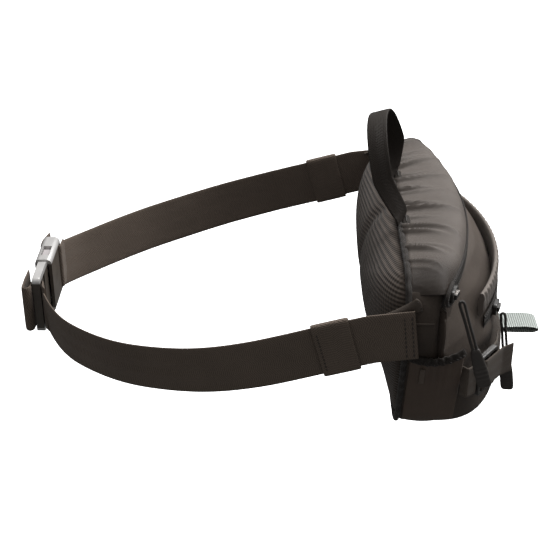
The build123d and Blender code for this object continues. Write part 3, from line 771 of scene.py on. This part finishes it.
pad_points = pad_grid(240, 40, -3.5)
pad_root = pad_points[:1] - [0, 7.0, 0]
pad_back = surface("back_pad", np.concatenate([pad_root, pad_points[:-1]]), ring=True)
pad_places = swell(pad_back, 4.0, 4.0, 5.0, lambda p: p[:, 1] < seam_y + 3.5)
channel_x = pad_places[:, 0] / (8.0 * mm)
pad_stand = np.clip((pad_places[:, 1] / mm - seam_y - 4.0) / 12.0, 0, 1)
pad_places[:, 1] -= 3.0 * mm * np.exp(-(channel_x**2)) * pad_stand
pad_back.data.vertices.foreach_set("co", pad_places.ravel())
pad_back.data.polygons.foreach_set("use_smooth", np.ones(len(pad_back.data.polygons), bool))
pad_back.data.update()
finer = pad_back.modifiers.new("finer", "SUBSURF")
finer.levels = 1
finer.render_levels = 1
paint(pad_back, mesh_material)
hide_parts("back_mesh", "back_foam", "back_sheet")
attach(pad_back, "pack")


# Back seam: a folded tape bound round the edges of the pad, the side panels and the lid, and
# gathered with them.
tape_dark, tape_light = (0.008, 0.0065, 0.0055), (0.028, 0.022, 0.018)
tape_material = webbing_finish("binding_tape", tape_dark, tape_light, 0.7, sheen=0.1)
seam_stations = 420
binding_ring = outline_ring(-0.6, seam_stations)
binding_path = np.insert(binding_ring, 1, seam_y + 0.6, axis=1)
binding_run = unit(np.roll(binding_path, -1, 0) - np.roll(binding_path, 1, 0))
seam_across = np.array([0.0, 1.0, 0.0])
binding_out = np.cross(seam_across, binding_run)
binding_away = binding_path - [0, seam_y, -13.0]
binding_out *= np.sign(np.sum(binding_out * binding_away, axis=1, keepdims=True))
seam_turn = np.arange(seam_stations) * 2 * np.pi / seam_stations
gather = 0.35 * np.sin(seam_turn * 70) + 0.25 * np.sin(seam_turn * 31)
binding_path += binding_out * gather[:, None]
turn = np.linspace(0, 2 * np.pi, 14, endpoint=False)
binding_profile = np.column_stack([2.3 * np.cos(turn), 2.7 * np.sin(turn)])
binding = band("back_seam_tape", binding_path, seam_across, binding_out, binding_profile, loop=True)
paint(binding, tape_material)
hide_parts("back_binding")
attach(binding, "pack")


# Front pocket: one curved panel of the dark cloth over the front, fuller low down, and drawn in at the
# corners by the compression straps.
pocket_y, pocket_radius = -40.0, 197.0
pocket_levels = np.array([-84.0, -74.0, -48.0, -11.0, 4.0, 25.0, 36.5])
pocket_insets = np.array([12.0, 2.0, 0.0, 7.0, 10.0, 19.0, 27.0])
strap_level = -28.0


def pocket_grid(columns, rows):
    """The front pocket between the base and its top: at each level, a turned arc between rounded
    corners.

    x = w cos(f)^(2/4.5) and y = back - depth(x) sin(f)^(2/4.5), with depth to that level's turned
    radius.
    """
    low = np.linspace(-84.0, 36.5, rows)
    f = np.linspace(math.pi, 0, columns)
    shape = 2 / 4.5
    width = half_width(low) + 0.8 + 1.2 * np.sin(np.pi * np.clip((low + 84) / 120, 0, 1))
    x = width[:, None] * np.sign(np.cos(f))[None] * np.abs(np.cos(f))[None] ** shape
    radius = pocket_radius - np.interp(low, pocket_levels, pocket_insets)
    back = -176.0
    arc = pocket_y - np.sqrt(np.clip(radius[:, None] ** 2 - x**2, 1, None))
    depth = np.clip(back - arc, 0.5, None)
    bulge = 3.2 * np.exp(-(((low + 10.0) / 9.0) ** 2))
    bulge -= 3.0 * np.exp(-(((low - strap_level) / 10.0) ** 2))
    corner = np.exp(-(((np.abs(x) - 88.0) / 30.0) ** 2))
    ripple = 0.9 * np.sin(x / 13.0 + low[:, None] / 19.0) * np.sin(low[:, None] / 8.0 + x / 41.0)
    y = back - (depth + bulge[:, None] * corner + ripple) * np.abs(np.sin(f))[None] ** shape
    z = np.repeat(low[:, None], columns, axis=1)
    return np.stack([x, y, z], axis=-1)


pocket_points = pocket_grid(200, 90)
foot = pocket_points[0] * [0.97, 1, 1] + [0, 6.0, 1.2]
foot_in = pocket_points[0] * [0.9, 1, 1] + [0, 40.0, 1.6]
foot_in[:, 1] = np.minimum(foot_in[:, 1], seam_y - 8.0)
brow = pocket_points[-1] * [0.985, 1, 1] + [0, 5.0, 3.0]
brow_in = pocket_points[-1] * [0.97, 1, 1] + [0, 9.0, 3.6]
pocket_points = np.concatenate([foot_in[None], foot[None], pocket_points, brow[None], brow_in[None]])
tucked = pocket_points * [0.93, 1, 0.99] + [0, 7.0, 0]
pocket_points = np.concatenate([tucked[:, :1], pocket_points, tucked[:, -1:]], axis=1)
pocket = surface("front_pocket_panel", pocket_points)
paint(pocket, shell_material)
thicken(pocket, 1.0)
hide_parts("front_pocket")
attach(pocket, "pack")


# Hip gussets: small folded triangles of the dark cloth that run from the pad's edge down on to the
# belt,
# one each side, with a row of stitches under the fold.
gusset_length, gusset_height = 24.0, 12.0
for side, name in both_sides:
    s = np.linspace(0, 1, 24)
    t = np.linspace(0, 1, 10)
    foot_y = -158.5 + gusset_length * s
    foot_z = belt_level(foot_y) + belt_width / 2 - 2.5
    top_line = foot_z + gusset_height * (1 - s) ** 1.5 * np.clip(s / 0.16, 0, 1) ** 0.6 + 1.0
    puff = 1.6 * np.sin(np.pi * s)[:, None] * np.sin(np.pi * t)[None]
    x = hip_x - 2.6 + puff - 1.4 * (1 - s)[:, None] * t[None]
    y = foot_y[:, None] - 1.5 * t[None] * (1 - s)[:, None]
    z = foot_z[:, None] + (top_line - foot_z)[:, None] * t[None]
    grid = np.stack([side * x, y, z], axis=-1)
    fin = surface(f"hip_gusset_{name}", grid if side < 0 else grid[::-1])
    paint(fin, shell_material)
    thicken(fin, 1.4, 0.0)
    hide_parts(f"hip_fin_{name}")
    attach(fin, "pack")
    edge_line = np.column_stack([side * (hip_x - 2.6 - 1.4 * (1 - s)), foot_y - 1.5 * (1 - s), top_line])
    line = edge_line + [side * 0.9, 0, -2.0]
    stitches(f"gusset_stitches_{name}", line, [side, 0, 0], "pack", 1.8, 2.6)


# Side seams: each side panel is pieced with one level seam, a narrow raised fold of the dark cloth.
side_seam_z = 28.0
for side, name in both_sides:
    share = np.linspace(0.06, 0.8, 60)
    out = half_width(side_seam_z) + side_fullness * np.sin(np.pi * share) ** 0.8 + 0.1
    run = seam_y + (front_arc(out) - seam_y) * share
    line = np.column_stack([side * out, run, side_seam_z + 1.5 * np.sin(np.pi * share)])
    fold = band(f"side_seam_{name}", line, [0, 0, 1], [side, 0, 0], flat_profile(1.8, 1.4, 10, 2.2))
    paint(fold, shell_material)
    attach(fold, "pack")


# Side pockets: stretch cloth from the base to an elastic mouth, pleated just below the elastic.
stretch_dark, stretch_light = (0.050, 0.036, 0.027), (0.130, 0.096, 0.075)
stretch_material = shell_finish(
    "stretch_cloth", stretch_dark, stretch_light, 0.03, thread=0.9, wrinkle=0.25
)
mouth_start_y, mouth_end_y = -154.6, -192.0


pocket_stand = 6.0


def pocket_side(side, s, level_share):
    """Points of the side pocket at a share s forwards and a share of its height.

    It stands off the bag's half width by stand sin(pi s)^(3/5) level^(2/5), with pleats under the mouth.
    """
    y = mouth_start_y + (mouth_end_y - mouth_start_y) * s
    mouth = -2.0 + 7.0 * s - 3.5 * np.sin(np.pi * s)
    z = base_z + 1.0 + (mouth - base_z - 1.0) * level_share
    pleat = 0.75 * np.exp(-(mouth - z) / 16.0) * np.sin(s * 46.0) * np.sin(np.pi * s)
    out = 1.6 + pocket_stand * np.sin(np.pi * s) ** 0.6 * level_share**0.4 + pleat
    return np.stack([side * (half_width(z) + out), y, z], axis=-1)


for side, name in both_sides:
    s, level_share = np.meshgrid(np.linspace(0, 1, 80), np.linspace(0.0, 1, 60), indexing="ij")
    grid = pocket_side(side, s, level_share)
    skin_piece = surface(f"stretch_pocket_{name}", grid if side < 0 else grid[::-1])
    paint(skin_piece, stretch_material)
    thicken(skin_piece, 0.8)
    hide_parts(f"side_pocket_{name}")
    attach(skin_piece, "pack")
    outwards = np.array([side, 0.0, 0.0])
    tab_line = pocket_side(side, np.full(24, 0.25), np.linspace(0.90, 0.70, 24)) + outwards * 0.8
    tab_profile = flat_profile(3.6, 1.4, 14, 5.0)
    tab = paint(band(f"side_tab_{name}", tab_line, [0, 1, 0], outwards, tab_profile), belt_material)
    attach(tab, "pack")
    mouth_line = pocket_side(side, np.linspace(0, 1, 90), np.ones(90))
    mouth_up = unit(np.cross(unit(np.gradient(mouth_line, axis=0)), outwards))
    mouth_up *= np.sign(mouth_up[:, 2:3])
    hem = band(f"elastic_hem_{name}", mouth_line, mouth_up, outwards, flat_profile(6.0, 2.0, 16, 5.0))
    paint(hem, tape_material)
    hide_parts(f"pocket_hem_{name}")
    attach(hem, "pack")
    line = mouth_line + outwards * 0.9 - mouth_up * 1.6
    stitches(f"hem_stitches_{name}", line, outwards, "pack", 1.7, 2.6, slant=1.2)


# Zips: coil zips whose tape follows the plan arc of its panel, with the coil along its middle.
coil_finish = Finish("nylon_coil")
coil_cloud = coil_finish.noise(coil_finish.object_point(), 400.0)
coil_colour = coil_finish.tint(coil_cloud, (0.010, 0.009, 0.008), (0.04, 0.036, 0.032))
coil_material = coil_finish.close({"Base Color": coil_colour, "Roughness": 0.38})


def arc_line(centre_y, radius, first, last, level, count):
    """Points on a level arc about the upright axis through (0, centre_y), with their outward
    directions.

    Its angles run from first to last, in degrees from -Y.
    """
    a = np.radians(np.linspace(first, last, count))
    out = np.column_stack([np.sin(a), -np.cos(a), np.zeros(count)])
    return np.array([0.0, centre_y, level]) + out * radius, out


upright = np.array([0.0, 0.0, 1.0])


def coil_zip(name, centre_y, radius, half_angle, level, node):
    """A zip on an arc: two tapes with a narrow gap, and a coil of slanted turns over the gap."""
    for label, step in (("upper", 3.4), ("lower", -3.4)):
        line, out = arc_line(centre_y, radius, -half_angle, half_angle, level + step, 160)
        profile = flat_profile(6.2, 0.9, 12, 8.0)
        tape = paint(band(f"{name}_tape_{label}", line, upright, out, profile), tape_material)
        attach(tape, "pack")
        if label == "upper":
            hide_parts(node)
        sewn_line = line + upright * step * 0.55 + out * 0.5
        stitches(f"{name}_stitches_{label}", sewn_line, out, "pack", 2.2, 3.0)
    line, out = arc_line(centre_y, radius + 0.7, -half_angle, half_angle, level, 400)
    steps = distances(line)
    centres = np.arange(0.6, steps[-1], 1.25)
    away = places_at(centres, steps, out)[:, None]
    run = unit(np.cross(upright, away))
    share = np.array([-1.0, -0.7, 0.0, 0.7, 1.0])[:, None]
    spine = places_at(centres, steps, line)[:, None]
    spine = spine + upright * share * 1.9 + run * share * 0.35 - away * 0.5 * share**2
    radius_at = 0.52 * np.sqrt(np.clip(1 - share[:, 0] ** 4, 0.03, 1))
    coil = paint(capsules(f"{name}_coil", spine, away, run, radius_at), coil_material)
    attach(coil, "pack")


coil_zip("main_zip", plan_y, plan_radius + 1.0, 22.8, lid_z, "main_zip")
coil_zip("front_zip", pocket_y, pocket_radius - 8.0 + 0.9, 26.0, 0.0, "front_zip")


# Welt over the front zip: a doubled strip of paler cloth, gathered on a cord so that it lies in small
# slanted folds, and sewn on above the zip.
welt_line, welt_out = arc_line(pocket_y, pocket_radius - 9.5, -27.0, 27.0, 17.0, 420)
welt_steps = distances(welt_line)
half_turn = np.linspace(0, 2 * np.pi, 30, endpoint=False)
welt_profile_z = np.sign(np.cos(half_turn)) * np.abs(np.cos(half_turn)) ** 0.6 * 9.0
welt_profile_out = np.sign(np.sin(half_turn)) * np.abs(np.sin(half_turn)) ** 0.7 * 2.0
slanted = welt_steps[:, None] + 0.45 * welt_profile_z[None]
fold_now = 1.2 * np.abs(np.sin(slanted * np.pi / 6.5)) ** 0.8 - 0.5
outer = np.clip(np.sin(half_turn), 0, 1)[None] ** 0.5
welt_grid = (
    welt_line[:, None]
    + upright * welt_profile_z[None, :, None]
    + welt_out[:, None] * (welt_profile_out[None] + fold_now * outer)[..., None]
)
welt = surface("gathered_welt", welt_grid, ring=True)
welt_dark, welt_light = (0.070, 0.058, 0.050), (0.200, 0.174, 0.154)
paint(welt, shell_finish("welt_cloth", welt_dark, welt_light, 0.08, wrinkle=0.2, rough=0.40))
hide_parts("front_welt")
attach(welt, "pack")


# Zip sliders: die-cast, painted black, rubbed to bare metal on their edges.
def edge_wear(finish, bright, dark, amount):
    """Paint over metal: bare where the surface is sharply convex, with specks elsewhere."""
    sharp = finish.node("ShaderNodeNewGeometry", {}, {}, out="Pointiness")
    speck = finish.noise(finish.object_point(), 500.0, 4.0)
    bare = (sharp + speck * 0.05).above(0.5 + amount, 0.02)
    return finish.tint(bare, dark, bright), bare


slider_finish = Finish("slider_paint")
slider_metal, slider_black = (0.30, 0.28, 0.26), (0.014, 0.012, 0.010)
slider_colour, slider_bare = edge_wear(slider_finish, slider_metal, slider_black, 0.16)
slider_material = slider_finish.close(
    {
        "Base Color": slider_colour,
        "Metallic": slider_bare * 0.8,
        "Roughness": 0.36 - slider_bare * 0.1,
    }
)


def dress(node, material, edge):
    """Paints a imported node, welds its loose triangles and bevels its edges of more than 35 degrees."""
    made = paint(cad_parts[node], material)
    weld = made.modifiers.new("weld", "WELD")
    weld.merge_threshold = 0.01 * mm
    bevel = made.modifiers.new("edge", "BEVEL")
    bevel.width = edge * mm
    bevel.segments = 3
    bevel.limit_method = "ANGLE"
    bevel.angle_limit = math.radians(35.0)


dress("main_slider", slider_material, 0.7)
dress("front_slider", slider_material, 0.7)


# Zip garages: a rolled rim of binding tape round each end of the main zip, where the slider parks.
for side, name in both_sides:
    a = math.radians(22.5)
    garage_out = np.array([side * math.sin(a), -math.cos(a), 0.0])
    garage_along = np.array([side * math.cos(a), math.sin(a), 0.0])
    turn = np.linspace(-1.75, 1.75, 48)
    garage_path = (
        np.array([0.0, plan_y, lid_z])
        + garage_out * (plan_radius + 2.2)
        + np.outer(np.cos(turn), garage_along) * 10.5
        + np.outer(np.sin(turn), upright) * 7.0
    )
    garage_run = unit(np.gradient(garage_path, axis=0))
    garage_across = np.cross(garage_run, garage_out)
    profile = flat_profile(3.2, 2.6, 16, 2.4)
    rim = band(f"zip_garage_{name}", garage_path, garage_across, garage_out, profile)
    paint(rim, tape_material)
    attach(rim, "pack")


# Zip pulls: a loop of thin braided cord through the slider's bridge, its ends moulded into a soft grip.
cord_finish = Finish("braided_cord")
cord_thick = 2.1
_, cord_y, cord_z = cord_finish.split(cord_finish.object_point())
braid_turns = 2 * math.pi / (1.5 * mm)
leftward, rightward = ((cord_z + cord_y) * braid_turns).sine(), ((cord_z - cord_y) * braid_turns).sine()
braid = leftward * rightward * 0.5 + 0.5
cord_colour = cord_finish.tint(braid, (0.010, 0.009, 0.008), (0.05, 0.044, 0.039))
cord_material = cord_finish.close({"Base Color": cord_colour, "Roughness": 0.7}, braid, depth=0.0004)


def moulded_finish(name, dark, light, rough):
    """Moulded plastic: fine spark-eroded grain, slightly cloudy gloss."""
    finish = Finish(name)
    grain = finish.noise(finish.object_point(), 1800.0, 4.0, 0.6)
    cloud = finish.noise(finish.object_point(), 60.0, 3.0)
    colour = finish.tint(cloud * 0.6 + grain * 0.3, dark, light)
    sockets = {"Base Color": colour, "Roughness": rough + cloud * 0.12}
    return finish.close(sockets, grain, depth=0.00012, strength=0.6)


grip_material = moulded_finish("soft_grip", (0.018, 0.015, 0.013), (0.044, 0.037, 0.032), 0.5)


def pull(name, hinge, down, along, cord_end, body, node_tag):
    """A cord loop and its grip, hanging from a hinge point.

    The grip is 33 mm long and widens from 6 to 10 mm, with finger ribs low on its faces.
    """
    down = unit(np.array(down, float))
    along = np.array(along, float)
    wide = unit(along - down * np.dot(along, down))
    thick = np.cross(down, wide)
    hinge = np.array(hinge, float)
    s = np.linspace(0, 1, 70)
    end_round = np.clip(1 - np.abs(2 * s - 1) ** 14, 0, 1) ** 0.35
    w = (3.2 + 1.8 * np.clip(s * 1.8, 0, 1) ** 0.8) * end_round
    rib = 0.22 * np.sin(s * 2 * np.pi * 9.0) * np.exp(-(((s - 0.66) / 0.22) ** 4))
    t = (1.5 + 0.45 * np.sin(np.pi * s) + rib) * end_round
    a = np.linspace(0, 2 * np.pi, 28, endpoint=False)
    ca = np.sign(np.cos(a)) * np.abs(np.cos(a)) ** 0.6
    sa = np.sign(np.sin(a)) * np.abs(np.sin(a)) ** 0.6
    spine = hinge + down * (cord_end + 0.05 + 33.0 * s)[:, None]
    grid = (
        spine[:, None]
        + wide * (w[:, None] * ca[None])[..., None]
        + thick * (t[:, None] * sa[None])[..., None]
    )
    grip = surface(f"{name}_grip", grid, ring=True)
    paint(grip, grip_material)
    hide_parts(f"{node_tag}_pull_tab")
    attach(grip, body)
    strand = 1.35
    half_route = [
        (cord_end + 1.0, strand),
        (cord_end * 0.75, strand * 1.15),
        (cord_end * 0.45, strand * 0.9),
        (6.0, strand * 1.25),
        (1.4, strand * 1.2),
    ]
    route = half_route + [(0.2, 0.0)] + [(low, -aside) for low, aside in reversed(half_route)]
    places = np.array([hinge + down * low + wide * aside for low, aside in route])
    line = bpy.data.curves.new(f"{name}_cord", "CURVE")
    line.dimensions = "3D"
    spline = line.splines.new("NURBS")
    spline.points.add(len(places) - 1)
    weighted = np.column_stack([places * mm, np.ones(len(places))]).astype(np.float32)
    spline.points.foreach_set("co", weighted.ravel())
    spline.order_u = 3
    spline.use_endpoint_u = True
    line.bevel_depth = cord_thick / 2 * mm
    line.bevel_resolution = 4
    line.use_fill_caps = True
    cord = bpy.data.objects.new(f"{name}_cord", line)
    bpy.context.scene.collection.objects.link(cord)
    paint(cord, cord_material)
    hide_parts(f"{node_tag}_pull_cord")
    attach(cord, body)


main_turn = math.radians(-22.5)
main_reach, front_reach = 322.3, 198.0
main_hinge = (math.sin(main_turn) * main_reach, plan_y - math.cos(main_turn) * main_reach, lid_z - 4.0)
pull("main_pull", main_hinge, (0.0, -0.3, -0.954), (0.0, -0.954, 0.3), 40.0, "main_pull", "main")
front_turn = math.radians(-18.0)
front_out = np.array([math.sin(front_turn), -math.cos(front_turn), 0.0])
front_hinge = np.array([0.0, pocket_y, -4.0]) + front_out * front_reach
pull("front_pull", front_hinge, front_out * 0.14 - upright, front_out, 34.0, "front_pull", "front")


# Haul handle: narrow dark webbing sewn into the top seam, standing in an arch that leans back, each leg
# turned on itself at its root and held to the lid by a folded tack.
handle_dark, handle_light = (0.006, 0.0042, 0.003), (0.020, 0.0145, 0.0105)
handle_material = webbing_finish("handle_webbing", handle_dark, handle_light, 1.2, sheen=0.0)
handle_half, handle_rise = 38.9, 60.9
handle_pivot = np.array([0.0, -151.0, 67.9])
lean = math.radians(15.0)
handle_up = np.array([0.0, math.sin(lean), math.cos(lean)])
arch = np.linspace(0, np.pi, 90)
handle_path = (
    handle_pivot
    + np.outer(np.cos(arch), [handle_half, 0, 0])
    + np.outer(np.sin(arch) ** 0.92, handle_up * handle_rise)
)
legs = np.linspace(1, 0, 12)[:-1, None]
foot_drop = np.array([0.0, -1.6, -9.6])
handle_path = np.concatenate(
    [handle_path[:1] + foot_drop * legs, handle_path, handle_path[-1:] + foot_drop * legs[::-1]]
)
handle_path[:, 1] -= 0.2 * handle_path[:, 0] * np.clip((handle_path[:, 2] - 66.0) / 25.0, 0, 1)
handle_run = unit(np.gradient(handle_path, axis=0))
flat_way = np.array([0.0, math.cos(lean), -math.sin(lean)])
share = np.linspace(0, 1, len(handle_path))
twist = np.radians(62.0) * (np.exp(-((share / 0.16) ** 2)) - np.exp(-(((1 - share) / 0.16) ** 2)))
flat_across = unit(flat_way - handle_run * (handle_run @ flat_way)[:, None])
side_across = np.cross(handle_run, flat_across)
across = flat_across * np.cos(twist)[:, None] + side_across * np.sin(twist)[:, None]
handle_out = np.cross(handle_run, across)
handle = band("haul_webbing", handle_path, across, handle_out, flat_profile(14.6, 1.9, 22, 10.0))
paint(handle, handle_material)
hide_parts("haul_handle")
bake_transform(handle)
for side, name in both_sides:
    s = np.linspace(0, 1, 16)
    tack_path = np.column_stack(
        [np.full(16, side * handle_half), -152.6 - 6.0 * s, 59.4 + 1.6 * np.sin(np.pi * s) ** 0.5]
    )
    tack = band(f"handle_tack_{name}", tack_path, [1, 0, 0], upright, flat_profile(13.5, 1.5, 18, 8.0))
    paint(tack, handle_material)
    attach(tack, "pack")
    if side < 0:
        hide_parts("handle_tacks")
    bar_x = side * handle_half + np.linspace(-5.0, 5.0, 12)
    bar = np.column_stack([bar_x, np.full(12, -155.6), np.full(12, 61.9)])
    stitches(f"handle_bar_tack_{name}", bar, upright, "pack", 1.2, 0.9, 0.5)


# Compression straps: webbing from each side seam through a ladder-lock to the front pocket, with
# the free
# end folded back over the lock.
strap_material = webbing_finish("strap_webbing", (0.030, 0.023, 0.018), (0.120, 0.098, 0.080), 1.1)
strap_width, strap_thick = 25.0, 1.6


def smooth_path(points, count, spread):
    """A polyline stepped evenly by distance and averaged over a window of steps, with its ends kept."""
    points = np.array(points, float)
    steps = distances(points)
    line = places_at(np.linspace(0, steps[-1], count), steps, points)
    before = 2 * line[:1] - line[spread:0:-1]
    after = 2 * line[-1:] - line[-2 : -spread - 2 : -1]
    padded = np.concatenate([before, line, after])
    sums = np.cumsum(np.concatenate([np.zeros((1, line.shape[1])), padded]), axis=0)
    return (sums[2 * spread + 1 :] - sums[: -2 * spread - 1]) / (2 * spread + 1)


def plan_band(name, plan_points, level, width, thick, material, count=70, spread=4):
    """Webbing on edge: an upright flat profile carried along a smoothed line in plan at one level."""
    flat = smooth_path(plan_points, count, spread)
    line = np.column_stack([flat, np.full(len(flat), level)])
    out = np.cross(unit(np.gradient(line, axis=0)), upright)
    return paint(band(name, line, upright, out, flat_profile(width, thick, 22, 12.0)), material)


lock_run = unit(np.array([59.5, -45.0]))
lock_out = np.array([lock_run[1], -lock_run[0]])
lock_centre = np.array([-119.5, -197.0]) + lock_run * 24.0 + lock_out * 0.8


def at_lock(along, out, side):
    """A plan point on the ladder-lock of one side."""
    return (lock_centre + lock_run * along + lock_out * out) * [-side, 1.0]


tail_route = [(-9.0, -1.4), (-6.5, 3.0), (9.0, 3.2), (17.0, 3.4), (27.0, 6.6)]
lock_material = moulded_finish("lock_acetal", (0.012, 0.010, 0.009), (0.030, 0.026, 0.022), 0.34)
for side, name in both_sides:
    sewn = plan_band(
        f"corner_strap_{name}",
        [(side * 114.5, -193.0), (side * 118.2, -196.6), at_lock(-14.0, 0.0, side)],
        strap_level, strap_width, strap_thick, strap_material,
    )
    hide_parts(f"strap_anchor_{name}")
    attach(sewn, "pack")
    front = plan_band(
        f"pocket_strap_{name}",
        [
            at_lock(13.0, -2.4, side),
            at_lock(22.0, -4.2, side),
            (side * 70.0, -224.2),
            (side * 66.0, -225.6),
        ],
        strap_level, strap_width, strap_thick, strap_material,
    )
    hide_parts(f"strap_front_{name}")
    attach(front, "pack")
    tail = plan_band(
        f"lock_webbing_{name}",
        [at_lock(*place, side) for place in tail_route],
        strap_level, 24.5, 1.5, strap_material, 80, 3,
    )
    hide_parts(f"strap_tail_{name}")
    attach(tail, f"{name}_lock")
    dress(f"ladder_lock_{name}", lock_material, 0.9)


# Light loop: ribbed reflective tape folded back on itself and sewn into the front.
loop_finish = Finish("reflective_tape")
loop_u, _, _ = loop_finish.split(loop_finish.cloth_point())
loop_rib = (loop_u * (2 * math.pi / (1.7 * mm))).sine() * 0.5 + 0.5
loop_bead = loop_finish.noise(loop_finish.object_point(), 1500.0, 2.0)
loop_shade = loop_rib * 0.7 + loop_bead * 0.3
loop_colour = loop_finish.tint(loop_shade, (0.12, 0.135, 0.125), (0.46, 0.49, 0.465))
loop_sockets = {"Base Color": loop_colour, "Roughness": 0.35 + loop_bead * 0.2, "Metallic": 0.25}
loop_material = loop_finish.close(loop_sockets, loop_rib, depth=0.0004)
loop_top = [(-235.5, -48.4), (-246.0, -47.8), (-258.0, -47.4), (-266.6, -48.4), (-269.2, -50.6)]
loop_under = [(-265.0, -52.6), (-252.0, -52.7), (-235.5, -51.9)]
loop_flat = smooth_path(loop_top + loop_under, 90, 3)
loop_line = np.column_stack([np.zeros(len(loop_flat)), loop_flat])
loop_run = unit(np.gradient(loop_line, axis=0))
loop_across = np.array([1.0, 0.0, 0.0])
loop_out = np.cross(loop_run, loop_across)
light = band("light_tape", loop_line, loop_across, loop_out, flat_profile(21.5, 1.1, 20, 12.0))
paint(light, loop_material)
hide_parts("light_loop")
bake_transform(light)


# Buckle: a side-release buckle in dark olive plastic. The satin grey on its rails is painted highlight
# for the light on their tops;
# the prongs show at its edges, and their pale grey is painted highlight too.
def buckle_finish(name):
    """Dark olive moulding with a fine grain. The satin grey on the upper and lower rails is painted
    highlight for light catching the rail tops."""
    finish = Finish(name)
    _, _, z = finish.split(finish.object_point())
    # Painted highlight: the rails above and below the buckle's middle turn satin grey.
    rail_highlight = abs(z + 17.0 * mm).above(19.6 * mm, 0.5 * mm)
    grain = finish.noise(finish.object_point(), 1500.0, 4.0)
    scuff = finish.noise(finish.object_point(), 120.0, 4.0)
    plate = finish.tint(scuff, (0.030, 0.024, 0.018), (0.075, 0.062, 0.050))
    highlight_grey = finish.tint(scuff, (0.34, 0.33, 0.32), (0.56, 0.55, 0.54))
    return finish.close(
        {
            "Base Color": finish.tint(rail_highlight, plate, highlight_grey),
            "Metallic": rail_highlight * 0.45,
            "Roughness": 0.34 + grain * 0.15,
            "Coat Weight": 0.15,
        },
        grain,
        depth=0.0001,
        strength=0.5,
    )


buckle_material = buckle_finish("buckle_plastic")
for node, edge in (("buckle_female", 1.1), ("buckle_male", 1.3)):
    dress(node, buckle_material, edge)
# Painted highlight: the prongs are pale grey in place of the light glinting off their tops.
prong_finish = Finish("prong_plastic")
prong_cloud = prong_finish.noise(prong_finish.object_point(), 90.0, 3.0)
prong_highlight_colour = prong_finish.tint(prong_cloud, (0.36, 0.33, 0.33), (0.50, 0.47, 0.47))
prong_sockets = {"Base Color": prong_highlight_colour, "Roughness": 0.3, "Metallic": 0.3}
prong_material = prong_finish.close(prong_sockets)
for node in ("prong_upper", "prong_lower"):
    dress(node, prong_material, 0.8)

buckle_z = -17.0
male_under = [(-40.0, 112.4), (-35.4, 115.4), (-28.5, 115.8), (-27.9, 120.0), (-28.5, 124.2)]
male_over = [(-38.0, 124.4), (-40.4, 127.3), (-38.0, 130.2), (-24.0, 130.4), (-12.0, 130.0)]
male_wrap = plan_band(
    "belt_wrap_male", male_under + male_over, buckle_z, belt_width, belt_thick, belt_material, 150, 4
)
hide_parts("belt_tail")
female_under = [(40.0, 112.0), (34.8, 112.3), (28.4, 112.3), (27.6, 120.0)]
female_over = [(28.4, 127.7), (37.4, 127.7), (44.0, 126.2), (50.4, 124.7)]
female_route = female_under + female_over
female_wrap = plan_band(
    "belt_wrap_female", female_route, buckle_z, belt_width, belt_thick, belt_material, 130, 4
)
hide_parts("belt_fold")
for piece in (male_wrap, female_wrap):
    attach(piece, "belt")


bpy.context.view_layer.update()
